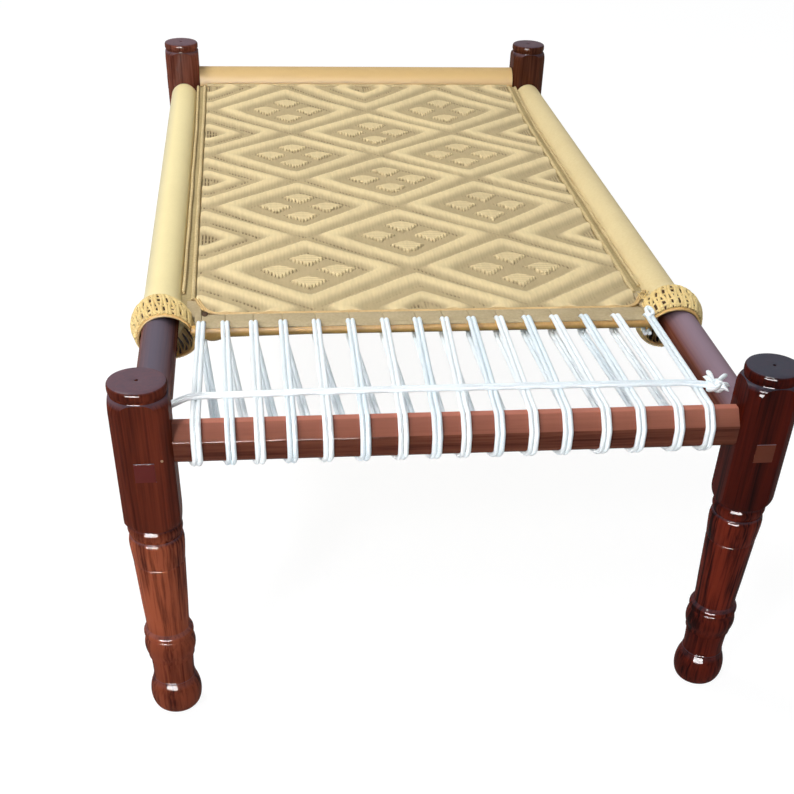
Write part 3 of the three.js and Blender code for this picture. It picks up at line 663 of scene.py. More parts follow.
class CHARPAI_OT_rails(bpy.types.Operator):
    """Build the round side rails and the eight-sided foot rail, with their tenons"""
    bl_idname = "charpai.rails"
    bl_label = "Rails"

    def execute(self, context):
        radius = SIDE_RAIL_RADIUS
        for name, side in (("left", -1), ("right", 1)):
            centre = (side * RAIL_X, 0, SIDE_RAIL_Z)
            bm = spun([(0, -REACH_Y), (radius, -REACH_Y), (radius, 0), (radius, REACH_Y), (0, REACH_Y)],
                      72, "Y", centre)
            add_tenons(bm, 1, REACH_Y, HEAD_Y + TENON_END, centre)
            piece(f"{name}_round_rail", to_mesh(bm, name), f"{name}_rail", "rail_wood", f"{name}_side_rail")
        bm = bmesh.new()
        wide, high = END_HALF_WIDE, END_HALF_HIGH
        section = [(-wide, UNDER_CUT - high), (UNDER_CUT - wide, -high), (wide - UNDER_CUT, -high),
                   (wide, UNDER_CUT - high), (wide, high - TOP_CUT), (wide - TOP_CUT, high),
                   (TOP_CUT - wide, high), (-wide, high - TOP_CUT)]
        add_prism(bm, -REACH_X, REACH_X, [(FOOT_Y + y, END_RAIL_Z + z) for y, z in section])
        soften(bm, [e for e in bm.edges if abs(e.verts[0].co.x - e.verts[1].co.x) > 1], 0.9)
        bmesh.ops.recalc_face_normals(bm, faces=bm.faces)
        add_tenons(bm, 0, REACH_X, RAIL_X + TENON_END, (0, FOOT_Y, END_RAIL_Z))
        piece("planed_foot_rail", to_mesh(bm, "foot", 30), "end_rail", "rail_wood", "foot_rail")
        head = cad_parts["head_rail"]
        head.data.materials.clear()
        head.data.materials.append(material("end_rail"))
        return {"FINISHED"}


def covering(low, high, axis, centre):
    turns = wound(WRAP_RADIUS, 0.3, low, high, round((high - low) / WRAP_TURN))
    return spun([(WRAP_BORE, low), *turns, (WRAP_BORE, high)], 48, axis, centre, True)


class CHARPAI_OT_rail_wraps(bpy.types.Operator):
    """Wind the cord covering on the side rails and the head rail"""
    bl_idname = "charpai.rail_wraps"
    bl_label = "Rail coverings"

    def execute(self, context):
        for name, side, finish in (("left", -1, "wrap"), ("right", 1, "right_wrap")):
            foot = COLLAR_FOOT_Y + COLLAR_LENGTH[side] + JOINT
            bm = covering(foot, REACH_Y, "Y", (side * RAIL_X, 0, SIDE_RAIL_Z))
            piece(f"{name}_rail_covering", to_mesh(bm, name, 60), finish, "wrap_cord", f"{name}_rail_wrap")
        bm = covering(-REACH_X, REACH_X, "X", (0, HEAD_Y, END_RAIL_Z))
        piece("head_rail_covering", to_mesh(bm, "head", 60), "head_wrap", "wrap_cord", "head_rail_wrap")
        return {"FINISHED"}


# ---- Woven bed ----

# Places of the diamonds, in millimetres: columns across, rows along
COLUMNS = (-356.0, -175.0, 8.5, 184.5, 366.0)
FIRST_ROW = -428.0
ROW_STEP = 153.9
HALF_WIDE = 181.0
HALF_LONG = 153.9
TO_SIDE = HALF_WIDE * HALF_LONG / hypot(HALF_WIDE, HALF_LONG)
# Limits of the raised ring of each diamond, and of the smaller ring in the diamonds that the edges cut
BAND_IN, BAND_OUT = 71.5, 115.0
SMALL_IN, SMALL_OUT = 24, 56
# Middles of the four leaves in each whole diamond, and half of a leaf's width
LEAVES = ((-50, 9), (49, 8), (-1, 57), (-1, -40))
LEAF_HALF = 34
# Where the piping's corners cut the weave: (y, x) along the left and the right
LEFT_CORNER = ((-446, -336), (-441, -340), (-428, -349), (-404, -357), (-385, -364))
RIGHT_CORNER = ((-446, 338), (-441, 350), (-425, 360), (-402, 372))
# Meshes that the top is made of, grid columns to a cord, rows along it and along the underside
STRIPS, CORD_COLUMNS, ROWS, UNDER_ROWS = 4, 4, 640, 300
STRIP_UNDER = PANEL_UNDER + 4


def waver(x, y, seed, size, length):
    """A smooth hand-made unevenness, the same every time."""
    total = 0
    for k in range(3):
        a, b = sin(seed * 12.9 + k * 4.1) * 1.3, cos(seed * 7.3 + k * 2.7) * 1.3
        total = total + np.sin((x * a + y * b) / length * (1 + 0.6 * k) + seed * 5.1 + k * 1.9) / (1 + k)
    return total * size / 1.8


def smooth_step(value, low, high):
    t = np.clip((value - low) / (high - low), 0, 1)
    return t * t * (3 - 2 * t)


def nearest_diamond(x, y):
    """Offsets from the nearest diamond, the reach from its middle to its side, and whether it is whole."""
    best = np.full(np.shape(x), 9.0)
    dx, dy, whole = np.zeros(np.shape(x)), np.zeros(np.shape(x)), np.zeros(np.shape(x), bool)
    for i, column in enumerate(COLUMNS):
        for j in range(i % 2, 10, 2):
            across, along = x - column, y - FIRST_ROW - j * ROW_STEP
            share = np.abs(across) / HALF_WIDE + np.abs(along) / HALF_LONG
            nearer = share < best
            best = np.where(nearer, share, best)
            dx, dy = np.where(nearer, across, dx), np.where(nearer, along, dy)
            whole = np.where(nearer, 0 < i < 4 and 0 < j < 8, whole)
    # The side corners of the rings sit a little towards the head, and all corners are rounded
    dy = dy - 6 * np.clip(np.abs(dx) / 150, 0, 1) ** 2
    best = np.hypot(dx, 5) / HALF_WIDE + np.hypot(dy, 9) / HALF_LONG
    return dx, dy, best * TO_SIDE, whole


def ring(reach, dx, dy):
    """A raised ring whose crest leans outward at the upper left and inward at the lower right: the lean, and
    the pale colour that follows the crest, are partly painted light from the upper left.
    """
    crest = (BAND_IN + BAND_OUT) / 2 + 6 * (np.tanh(dy / 12) - np.tanh(dx / 12)) / 2
    rise, fall = (reach - BAND_IN) / (crest - BAND_IN), (BAND_OUT - reach) / (BAND_OUT - crest)
    return np.sin(np.pi / 2 * np.clip(np.where(reach < crest, rise, fall), 0, 1)) ** 1.35


def edge_slots(reach, dy, low, high):
    """1 along a band's edge that looks to the foot, where its cords dive under: there the slot is sunk and
    painted dark as shade.
    """
    inside = np.where(dy > 0, reach - low, high - reach)
    return np.clip(1 - np.abs(inside + 2.2) / 3.6, 0, 1)


def weave_pattern(x, y, tooth=0.0):
    """Raised share and slot share of the weave at places; slots are sunk and painted dark as shade. Teeth cut
    back the edges that look to the foot.
    """
    x = x + waver(x, y, 1, 2.6, 150)
    y = y + waver(x, y, 2, 2.6, 150)
    dx, dy, reach, whole = nearest_diamond(x, y)
    band = ring(reach + np.where(dy > 0, -0.15, 0.15) * tooth, dx, dy)
    # Slots along the band edges, sunk and painted dark as shade, stronger on two of the four sides
    slots = edge_slots(reach, dy, BAND_IN, BAND_OUT) * (0.45 + 0.3 * np.sign(dx * dy))
    # A leaf has a domed top edge, pointed sides and a lower edge that steps to a point
    leaf = np.zeros(np.shape(x))
    for cx, cy in LEAVES:
        u, v = np.abs(dx - cx) / LEAF_HALF, dy - cy
        top, low = 22 * (1 - u ** 1.3), -37 * (1 - u) + tooth
        rows = 0.88 + 0.12 * np.cos(v * TAU / 8.7)
        body = np.minimum(smooth_step(top - v, -1, 8), smooth_step(v - low, -1, 5) * rows) * (u < 1)
        leaf = np.maximum(leaf, body * 0.75)
        # Slots below a leaf's stepped lower edge, sunk and painted dark as shade
        below = np.clip(1 - np.abs(low - v - 1.0) / 3.5, 0, 1) * (u < 1)
        slots = np.maximum(slots, np.where(whole, below * 0.5, 0))
    # Cut diamonds at the edges hold a smaller ring, and a core of slots, sunk and painted dark as shade, most
    # on the left
    small = np.sin(np.pi * np.clip((reach - SMALL_IN) / (SMALL_OUT - SMALL_IN), 0, 1)) ** 1.15
    small_slots = edge_slots(reach, dy, SMALL_IN, SMALL_OUT) * 0.5
    core = np.clip((22 - reach) / 5, 0, 1) * np.where(x < 0, 3.0, 0.5)
    raised = np.maximum(band, np.where(whole, leaf, small))
    slots = np.where(whole, slots, np.maximum(slots, np.maximum(small_slots, core * (np.abs(dy) > 1.2))))
    # The slots, and their painted shade, grow towards the left
    return raised, slots * (0.75 + 0.5 * smooth_step(-x, -80, 320))


def bed_surface(x, y, pitch, relief):
    """Height in millimetres, level share and slot share of the bed's top at places in millimetres."""
    cord = np.floor((x + PANEL_HALF) / pitch - 1e-6)
    middle = (cord + 0.5) * pitch - PANEL_HALF
    # An odd share from -0.5 to 0.5 for each cord
    odd = np.sin(cord * 12.9898) * 43758.5453
    odd = odd - np.floor(odd) - 0.5
    across = np.abs(x - middle) / (pitch / 2)
    # Raised runs end in teeth towards the foot: the gaps between cords reach further back
    raised, slots = weave_pattern(x, y, 7.0 * across ** 2 + odd * 6)
    patchy = np.clip(0.75 + waver(x, y, 5, 1.0, 9) + odd, 0, 1)
    # slot both sinks the cord and sets its painted shade
    slot = np.clip(slots * patchy * 1.9, 0, 1) * smooth_step(across, 0.25, 0.9)
    bow = np.sqrt(np.clip(1 - across ** 2 * 0.9, 0, 1)) - 1
    height = PANEL_TOP - relief + 0.2 + raised * relief
    height = height + bow * 0.13 - slot * 2.4 + odd * 0.12 + waver(x, y, 3, 0.4, 60)
    kept = np.minimum(x - np.interp(y, *zip(*LEFT_CORNER)), np.interp(y, *zip(*RIGHT_CORNER)) - x)
    kept = smooth_step(kept, -2, 2)
    height = SELVEDGE_TOP + (height - SELVEDGE_TOP) * kept
    return height + climb(y), smooth_step(raised, 0.05, 0.98) * kept, slot * kept


def underside(x, y, pitch):
    """The same for the bed's underside, where the pattern shows the other way round."""
    raised, slots = weave_pattern(x, y)
    level = smooth_step(1 - raised, 0.3, 0.9)
    cord = np.abs(np.sin((x + PANEL_HALF) / pitch * pi))
    return PANEL_UNDER + 0.8 - level * 0.4 - cord * 0.4 + climb(y), level, slots * 0


def strip_mesh(name, x0, x1, columns, rows, surface):
    """A strip of the bed: a grid that follows surface(x, y), with upright sides on its outer edges."""
    bm = bmesh.new()
    layers = [bm.verts.layers.float.new(key) for key in LAYERS]
    middle = ((x0 + x1) / 2, (PANEL_FOOT_Y + PANEL_HEAD_Y) / 2, 0)
    half = ((x1 - x0) / 2, (PANEL_HEAD_Y - PANEL_FOOT_Y) / 2, 1, 1)
    matrix = Matrix.Translation(middle) @ Matrix.Diagonal(half)
    bmesh.ops.create_grid(bm, x_segments=columns, y_segments=rows, size=1, matrix=matrix)
    places = np.array([vert.co[:2] for vert in bm.verts])
    for vert, height, *values in zip(bm.verts, *surface(places[:, 0], places[:, 1])):
        vert.co.z = height
        for layer, value in zip(layers, values):
            vert[layer] = value
    inner = [x for x in (x0, x1) if abs(abs(x) - PANEL_HALF) > 0.01]
    rim = [e for e in bm.edges if e.is_boundary and not any(
        abs(v.co.x - x) + abs(u.co.x - x) < 0.01 for x in inner for v, u in [e.verts])]
    made = bmesh.ops.extrude_edge_only(bm, edges=rim)
    for vert in (g for g in made["geom"] if isinstance(g, bmesh.types.BMVert)):
        vert.co.z = STRIP_UNDER + climb(vert.co.y)
    bmesh.ops.recalc_face_normals(bm, faces=bm.faces)
    return to_mesh(bm, name, 80)


class CHARPAI_OT_bed(bpy.types.Operator):
    """Weave the bed: raised diamonds of lengthwise cords, its underside and its selvedge"""
    bl_idname = "charpai.bed"
    bl_label = "Woven bed"

    def execute(self, context):
        w = weave()
        cords = round(2 * PANEL_HALF / w.pitch)
        pitch = 2 * PANEL_HALF / cords
        x0 = -PANEL_HALF
        for i in range(STRIPS):
            # Strips meet on the crown of a cord, where no seam shows
            count = cords // STRIPS + (i < cords % STRIPS) + ((i == 0) - (i == STRIPS - 1)) / 2
            x1 = x0 + count * pitch
            mesh = strip_mesh(f"strip_{i}", x0, x1, round(count * CORD_COLUMNS), ROWS,
                              lambda x, y: bed_surface(x, y, pitch, w.relief))
            piece(f"woven_bed_{i + 1}", mesh, "weave", "woven_cord", "woven_panel")
            x0 = x1
        mesh = strip_mesh("underside", -PANEL_HALF, PANEL_HALF, cords * 2, UNDER_ROWS,
                          lambda x, y: underside(x, y, pitch))
        piece("woven_underside", mesh, "weave", "woven_cord", "woven_panel")
        self.selvedge()
        return {"FINISHED"}

    def selvedge(self):
        """The recessed edges, where cords run out across the gap to the rails."""
        bm = bmesh.new()
        foot = BAND_HEAD_Y + 0.5
        places = [foot, *CLIMB_Y, SELVEDGE_HEAD_Y]
        upper, lower = ([(y, z + climb(y)) for y in places] for z in (SELVEDGE_TOP, PANEL_UNDER))
        for x0, x1 in ((-SELVEDGE_HALF, -PANEL_HALF - 0.1), (PANEL_HALF + 0.1, SELVEDGE_HALF)):
            bent_plate(bm, x0, x1, upper, lower)
        for low, high in ((PANEL_HEAD_Y + 0.1, SELVEDGE_HEAD_Y), (foot, PANEL_FOOT_Y - 0.1)):
            rise = climb(low)
            add_box(bm, (-PANEL_HALF, low, PANEL_UNDER + rise), (PANEL_HALF, high, SELVEDGE_TOP + rise))
        piece("woven_selvedge", to_mesh(bm, "selvedge"), "selvedge", "woven_cord", "woven_panel")


# ---- Edges of the bed ----

# How far each border cord strays at even places along it, as shares of its drift
DRIFTS = (0, 0.5, 0.15, 0.8, 0.3, 1, 0.2, 0.7, 0.4, 0.9, 0.3, 0.6, 0.1)
BORDER_FOOT_Y, BORDER_HEAD_Y = -347.5, 812
BORDER_RADIUS, THIN_RADIUS, PIPING_RADIUS = 3.5, 2.7, 2.0
BORDER_LIFT, THIN_LIFT = 3.8, 3.1
# Half the width of a lacing slot in the band, and the degrees where the band's lap starts and ends
SLOT_HALF = 7.6
LAP_START, LAP_END = -45, 38
ROLL_CORD_TURNS = 245
# Where the roll hangs lower: (place across, reach, drop) of its left corner and its slack right end
ROLL_DROPS = ((-336, 20, 9.0), (378, 14, 7.0))


class CHARPAI_OT_borders(bpy.types.Operator):
    """Lay the border cords along the bed's edges and the piping round its foot corners"""
    bl_idname = "charpai.borders"
    bl_label = "Border cords"

    def side_cord(self, x, z, drift, foot):
        places = np.linspace(foot, BORDER_HEAD_Y, 60)
        shares = np.interp(places, np.linspace(BORDER_FOOT_Y, BORDER_HEAD_Y, len(DRIFTS)), DRIFTS)
        soft = np.convolve(np.pad(shares, 2, "edge"), np.ones(5) / 5, "valid")
        return [Vector((x + drift * s, y, z + climb(y))) for s, y in zip(soft, places)]

    def execute(self, context):
        for name, side in (("left", -1), ("right", 1)):
            for kind, x, lift, drift, foot, radius in (
                    ("border", 368.1, BORDER_LIFT, 2.2, -384, BORDER_RADIUS),
                    ("thin_border", 384.8, THIN_LIFT, -2.2, -352, THIN_RADIUS)):
                route = self.side_cord(side * x, SELVEDGE_TOP + lift, side * drift, foot)
                piece(f"{name}_{kind}", tube_mesh(name, [(route, radius, 1)], 6), "border", "wrap_cord",
                      f"{name}_{kind}_cord")
        head_z = SELVEDGE_TOP + BORDER_LIFT + climb(HEAD_Y)
        head = [Vector((x, PANEL_HEAD_Y + BORDER_LIFT, head_z)) for x in (-PANEL_HALF, PANEL_HALF)]
        piece("head_border", tube_mesh("head", [(head, BORDER_RADIUS, 1)], 8), "border", "wrap_cord",
              "head_border_cord")
        piping = []
        for aside in (0.0, 4.0):
            route = [(-359 - aside, -385), (-353 - aside, -408), (-345 - aside, -428 - aside * 0.5),
                     (-332, -441 - aside), (0, -442 - aside), (345, -441.5 - aside),
                     (360 + aside * 0.7, -428 - aside * 0.6), (370 + aside, -404), (385 + aside, -380)]
            points = rounded([Vector((x, y, PANEL_TOP - 2.4)) for x, y in route], 14)
            piping.append((points, PIPING_RADIUS, 1))
        piece("foot_piping", tube_mesh("foot", piping, 6), "piping", "gold_cord", "foot_border_cord")
        return {"FINISHED"}


class CHARPAI_OT_foot_edge(bpy.types.Operator):
    """Build the plain band, which laps over the roll between the lacing, and the roll itself"""
    bl_idname = "charpai.foot_edge"
    bl_label = "Foot edge"

    def execute(self, context):
        self.band()
        # Painted shade: a dark patch in the opening at the weave's left corner
        opening = bmesh.new()
        matrix = Matrix.Translation((-348.0, -446, PANEL_TOP - 0.4)) @ Matrix.Diagonal((5, 9, 1.2, 1))
        bmesh.ops.create_uvsphere(opening, u_segments=16, v_segments=8, radius=1, matrix=matrix)
        piece("corner_opening_painted_shade", to_mesh(opening, "opening"), "hollow", "gold_cord", "foot_edge_band")
        self.roll()
        return {"FINISHED"}

    def band(self):
        bm = bmesh.new()
        slot_end = (ROLL_Y + 17, PANEL_TOP - 0.6)
        flat, over = [(BAND_HEAD_Y, PANEL_TOP - 1.2), slot_end], [slot_end]
        flat_under = [(y, z - BAND_THICK) for y, z in flat]
        inside = [(slot_end[0], slot_end[1] - BAND_THICK)]
        for c, s in arc(radians(LAP_START), radians(LAP_END), 8):
            for line, r in ((over, ROLL_RADIUS + 2.0), (inside, ROLL_RADIUS + 0.2)):
                line.append((ROLL_Y - r * s, ROLL_Z + r * c))
        edges = [-PANEL_HALF, *ROLL_TURNS, 384.0]
        for i, (left, right) in enumerate(zip(edges, edges[1:])):
            bent_plate(bm, left + 0.4, right - 0.4, flat, flat_under, 0.5)
            low, high = left + (SLOT_HALF if i else 2), right - (SLOT_HALF if i < len(ROLL_TURNS) else 6)
            bent_plate(bm, low, high, over, inside)
        # Plates beside the weave's corners, under the piping
        for x0, x1, head in ((-378.0, -354.0, -386.0), (366.0, 396.0, -376.0)):
            plate = [(BAND_HEAD_Y - 4, PANEL_TOP - 3), (head, PANEL_TOP - 4)]
            bent_plate(bm, x0, x1, plate, [(y, z - 5) for y, z in plate], 1.0)
        piece("plain_foot_band", to_mesh(bm, "band", 40), "band", "gold_cord", "foot_edge_band")

    def roll(self):
        half, sunk = 368.0, 1.6
        outline = [(0, -half), *wound(ROLL_RADIUS - sunk, 0.35, -half, half, ROLL_CORD_TURNS), (0, half)]
        bm = spun(outline, 32, "X", (0, ROLL_Y, ROLL_Z + sunk))
        for vert in bm.verts:
            # The folded corner hangs lower at the left, and so does the slack end at the right
            under = max(0.0, (ROLL_Z - vert.co.z) / ROLL_RADIUS)
            vert.co.z -= 4.5 * max(0.0, 1 - abs(vert.co.x + 340) / 150) * under
            for middle, wide, drop in ROLL_DROPS:
                share = max(0.0, 1 - abs(vert.co.x - middle) / wide)
                vert.co.z -= drop * sin(share * pi / 2) * under
        piece("cord_roll", to_mesh(bm, "roll", 60), "gold", "gold_cord", "foot_edge_roll")


# ---- Corner collars ----

# Places along a collar, and how far each side's net stands out there
COLLAR_PLACES = (-22, 0, 22, 36, 46, 53)
COLLAR_RADII = {-1: (46.5, 50.2, 53.0, 50.5, 45.0, 37.5), 1: (47.0, 53.4, 57.2, 54.5, 48.0, 37.5)}
COLLAR_TILT = {-1: -0.1, 1: -0.28}
# Where the side next to the bed starts round the rail, and how far it goes, in radians
INNER_START = {-1: -1.25, 1: pi - 0.25}
INNER_ANGLE = 1.5
# Radii of the plain root and their shares of its length
ROOT = ((37.5, -0.06), (35.2, 0.12), (33.4, 0.35), (32.0, 0.65), (31.2, 1))
# Shares of the net's length where a cord goes round, and its radius
RINGS = ((0.15, 2.4), (0.36, 1.9), (0.57, 2.1), (0.78, 1.9), (0.97, 2.4))
CORD_RADIUS = 2.75
NET_CORDS = 48
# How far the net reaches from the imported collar's foot end, and how far its rim hangs past that end
NET, MOUTH = 52.0, 16.0
# Where the collar is pressed in against the bed
BED_EDGE_X, BED_UNDER_Z = 371.0, 425


class Collar:
    """One corner collar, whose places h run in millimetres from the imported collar's foot end."""

    def __init__(self, name, side):
        self.name, self.side = name, side

    def outer(self, h):
        return float(np.interp(h, COLLAR_PLACES, COLLAR_RADII[self.side]))

    def hang(self, point):
        """Moves a place round the rail's axis to where the open end hangs, leans and meets the bed."""
        share = min(1.3, max(0.0, 1 - point.y / NET))
        # The crown flattens a little and the underside shrinks, then all of it shifts, leans and sinks
        z = point.z * (1 - 0.16 * sin(min(1.0, share) * pi) if point.z > 0 else 1 - 0.26 * share)
        x = self.side * RAIL_X + point.x - self.side * 8.0 * share
        y = COLLAR_FOOT_Y + point.y + COLLAR_TILT[self.side] * z * share
        z += SIDE_RAIL_Z - 8.6 * share
        past = BED_EDGE_X - self.side * x
        if past > 0 and z > BED_UNDER_Z:
            x += self.side * past * 0.85 * min(1.0, (z - BED_UNDER_Z) / 12)
        return Vector((x, y, z))

    def around(self, angle, r, h):
        return self.hang(Vector((cos(angle) * r, h, sin(angle) * r)))

    def shell(self, low, high, depth, wall, steps=10):
        """An outline under the net's outer line, by a depth and with a wall."""
        places = np.linspace(low, high, steps + 1)
        skin = [(self.outer(h) - depth, h) for h in places]
        return skin + [(max(WRAP_BORE, r - wall), h) for r, h in skin[::-1]]

    def add(self, mesh, label, finish):
        piece(f"{self.name}_collar_{label}", mesh, finish, "gold_cord", f"{self.name}_corner_collar")

    def turned(self, points, label, finish, angle=TAU, start=0.0):
        """Adds an outline turned round the rail, over an angle and hanging like the rest."""
        bm = bmesh.new()
        face = bm.faces.new([bm.verts.new((r * cos(start), h, r * sin(start))) for r, h in points])
        if angle == TAU:
            bmesh.ops.delete(bm, geom=[face], context="FACES_ONLY")
        spin(bm, [*bm.verts, *bm.edges, *bm.faces], (0, -1, 0), angle, round(72 * angle / TAU))
        for vert in bm.verts:
            vert.co = self.hang(vert.co)
        bmesh.ops.recalc_face_normals(bm, faces=bm.faces)
        self.add(to_mesh(bm, self.name, 50), label, finish)

    def net_cords(self):
        """Routes of the lengthwise cords, which lean to and fro, and of the rings between them."""
        step = TAU / NET_CORDS
        for k in range(NET_CORDS):
            lean = (0.22 * (-1) ** k + 0.16 * sin(k * 5.3)) * step
            route = []
            for t in np.linspace(0.06, 0.99, 15):
                h = t * (NET + MOUTH) - MOUTH
                route.append(self.around(k * step + lean * sin(t * TAU), self.outer(h) - 2.9, h))
            yield route, CORD_RADIUS, 1
        for share, radius in RINGS:
            route = []
            for angle in np.linspace(0, TAU, 73):
                h = share * (NET + MOUTH) - MOUTH + 2.4 * sin(angle * 9 + share * 19)
                route.append(self.around(angle, self.outer(h) - 2.6, h))
            yield route, radius, 1


def frayed_ends():
    """Routes of the cut ends that fray where the piping runs under the right collar."""
    for k in range(16):
        start = Vector((368 + 2.1 * k, -424 + 14 * sin(k * 2.9), 449 + 2.5 * sin(k * 1.7)))
        bend = start + Vector((6 * sin(k * 4.1), 7 + 5 * cos(k * 3.3), 4 + 2 * sin(k)))
        end = bend + Vector((9 * sin(k * 2.3 + 1), 8 * cos(k * 5.1), 3 * sin(k * 3)))
        yield rounded([start, bend, end], 4), 1.2, 0.6


class CHARPAI_OT_collars(bpy.types.Operator):
    """Knot the corner collars: lengthwise cords over an inside painted dark as shade, rings between them, and
    a smooth rim
    """
    bl_idname = "charpai.collars"
    bl_label = "Corner collars"

    def execute(self, context):
        for name, side, wrap in (("left", -1, "wrap"), ("right", 1, "right_wrap")):
            collar = Collar(name, side)
            # The inside is a dark shell of painted shade under the net
            collar.turned(collar.shell(3 - MOUTH, NET, 3.4, 1.6), "inside", "hollow")
            root = [(r, NET + (COLLAR_LENGTH[side] - JOINT - NET) * t) for r, t in ROOT]
            collar.turned([*root, *((WRAP_BORE, h) for _, h in root[::-1])], "root", wrap)
            rim = [(44.2 + 2.6 * c, 4.2 - MOUTH + 4.4 * s) for c, s in arc(0, TAU, 12)[:-1]]
            collar.turned(rim, "rim", "rim")
            collar.turned(collar.shell(4 - MOUTH, 26, -0.3, 2.6, 6), "inner_side", "collar",
                          INNER_ANGLE, INNER_START[side])
            tubes = [*collar.net_cords(), *(frayed_ends() if side > 0 else ())]
            collar.add(tube_mesh(name, tubes, 4, 2), "cords", "collar")
        return {"FINISHED"}


# ---- Lacing ----

# Where each pair of turns crosses the roll and the foot rail, in millimetres across the bed
ROLL_TURNS = (-353, -316, -272, -226, -174, -120, -66, -14, 30, 73, 118, 163, 208, 257, 310, 364)
RAIL_TURNS = (-350, -306, -268, -226, -179, -130, -80, -35, 4, 49, 95, 141, 194, 242, 295, 338)
FIRST_STEP = 45.6
FIRST_LAG = 0.36
# The cord's middle above what it lies on, and the distance between the two cords
LACING_OFFSET = 3.45
PAIR_STEP = 7.2
RAIL_TOP, RAIL_UNDER = END_RAIL_Z + END_HALF_HIGH, END_RAIL_Z - END_HALF_HIGH
# Where the cords cross the upper runs, from the knot to the left: (x, distance from the foot rail)
CROSSING = ((357, 48), (346, 53), (318, 60), (203, 61), (63, 62), (-75, 62), (-212, 60), (-345, 55),
            (-360, 53))
# Where the knot's five tails end, from its middle
TAILS = ((25, 22, 5), (-2, 34, 6), (24, 2, -3), (-12, 18, 5), (17, -14, -2))


def lacing_route(aside):
    """One cord's turns round the foot rail and the roll."""
    offset = LACING_OFFSET
    bend = offset * tan(pi / 8)
    edge = END_HALF_WIDE - UNDER_CUT
    top_edge = END_HALF_WIDE - TOP_CUT
    # Places round the foot rail, each with its lag behind the turn
    around = [(edge + bend, RAIL_UNDER - offset, FIRST_LAG), (-edge - bend, RAIL_UNDER - offset, 0.06),
              (-END_HALF_WIDE - offset, RAIL_UNDER + UNDER_CUT - bend, 0),
              (-END_HALF_WIDE - offset, RAIL_TOP - TOP_CUT + bend, 0),
              (-top_edge - bend, RAIL_TOP + offset, 0), (top_edge, RAIL_TOP + offset, 0)]
    route = []
    for i, (rail_x, roll_x) in enumerate(zip(RAIL_TURNS, ROLL_TURNS)):
        step = rail_x - RAIL_TURNS[i - 1] if i else FIRST_STEP
        for y, z, lag in around:
            route.append(Vector((rail_x - lag * step + aside, FOOT_Y + y, z)))
        r = ROLL_RADIUS + offset
        for c, s in arc(pi / 2, -pi / 2, 8):
            route.append(Vector((roll_x + aside, ROLL_Y + r * c, ROLL_Z + r * s)))
    return route + [route[-1] - Vector((0, 9, 0))]


def upper_run_z(y):
    """Height of the cords between the foot rail and the roll, at a distance from the rail's middle."""
    start, end = END_HALF_WIDE - TOP_CUT, ROLL_Y - FOOT_Y
    share = (y - start) / (end - start)
    return RAIL_TOP + LACING_OFFSET + (ROLL_Z + ROLL_RADIUS - RAIL_TOP) * share


def crossing_route(place):
    """One cord's start: from the knot across the upper runs and round the left side rail."""
    route = []
    for x, y in CROSSING:
        y += place * PAIR_STEP
        route.append(Vector((x, FOOT_Y + y, upper_run_z(y) + 6.4)))
    # Eight places round the rail, far enough out for the straight runs between them to clear it
    radius = (SIDE_RAIL_RADIUS + 3.35) / cos(radians(13.6))
    hitch = FOOT_Y + 46 + place * 12
    for c, s in arc(radians(110), radians(300), 7):
        route.append(Vector((radius * c - RAIL_X, hitch, SIDE_RAIL_Z + radius * s)))
    start_x = RAIL_TURNS[0] + (place - 0.5) * PAIR_STEP - FIRST_LAG * FIRST_STEP
    return route + [Vector((start_x - 9, hitch, 418)), Vector((start_x, hitch - 9, 424))]


class CHARPAI_OT_lacing(bpy.types.Operator):
    """Wind the two white lacing cords and tie them off in the end knot"""
    bl_idname = "charpai.lacing"
    bl_label = "Lacing"

    def add(self, name, tubes, node, spacing=2, pattern=4.0):
        piece(name, tube_mesh(name, tubes, spacing, 2, pattern), "white", "white_cord", node)

    def execute(self, context):
        for place in (0, 1):
            route = crossing_route(place) + lacing_route((place - 0.5) * PAIR_STEP)
            self.add(f"white_lacing_{place + 1}", [(rounded(route, 4), lacing().diameter / 2, 1)],
                     f"lacing_cord_{place + 1}", 4, 5.0)
        centre = Vector((363, FOOT_Y + 50, upper_run_z(52) + 6))
        loop = []
        for a in np.linspace(0, TAU, 49):
            r = 8 + 3.4 * cos(3 * a)
            loop.append(centre + Vector((cos(2 * a) * r, sin(2 * a) * r, 3.8 * sin(3 * a))))
        tubes = [(loop, 3.5, 1)]
        for tip in TAILS:
            end = centre + Vector(tip)
            middle = centre.lerp(end, 0.6) + Vector((0, 0, 4))
            tubes.append((rounded([centre, middle, end], 8), 3.4, 0.1))
        self.add("lacing_knot", tubes, "end_knot")
        eye = [Vector((364 + c * 4.6, ROLL_Y + s * 12, ROLL_Z + 20 + s * 1.5)) for c, s in arc(0, TAU, 24)]
        self.add("last_turn_eye", [(eye, 3.3, 1)], "lacing_cord_2")
        return {"FINISHED"}


# ---- Stage ----

# The photo's camera: yaw, pitch and roll in degrees, place in metres, focal length and middle in pixels
CAMERA_TURN = (7.95, 41.08, 2.34)
CAMERA_PLACE = (-0.25275, FOOT_Y * MM - 1.36649, 1.23411)
IMAGE_SIZE = 794
FOCAL = 1157.1
MIDDLE_X, MIDDLE_Y = 405.0, 673.0
SENSOR = 36
# Place, width, height and watts. The windows only show in the lacquer, as small clear lights
LAMPS = (
    ("key", (-2.2, 0.9, 4.6), 1.6, 1.6, 140.0),
    ("front", (-1.6, -2.9, 2.1), 0.36, 0.36, 40.0),
    ("high_window", (-1.1, -3.0, 2.5), 1.9, 0.6, 540.0),
    ("low_window", (-1.3, -4.2, 0.8), 3.2, 1.2, 2600.0),
)


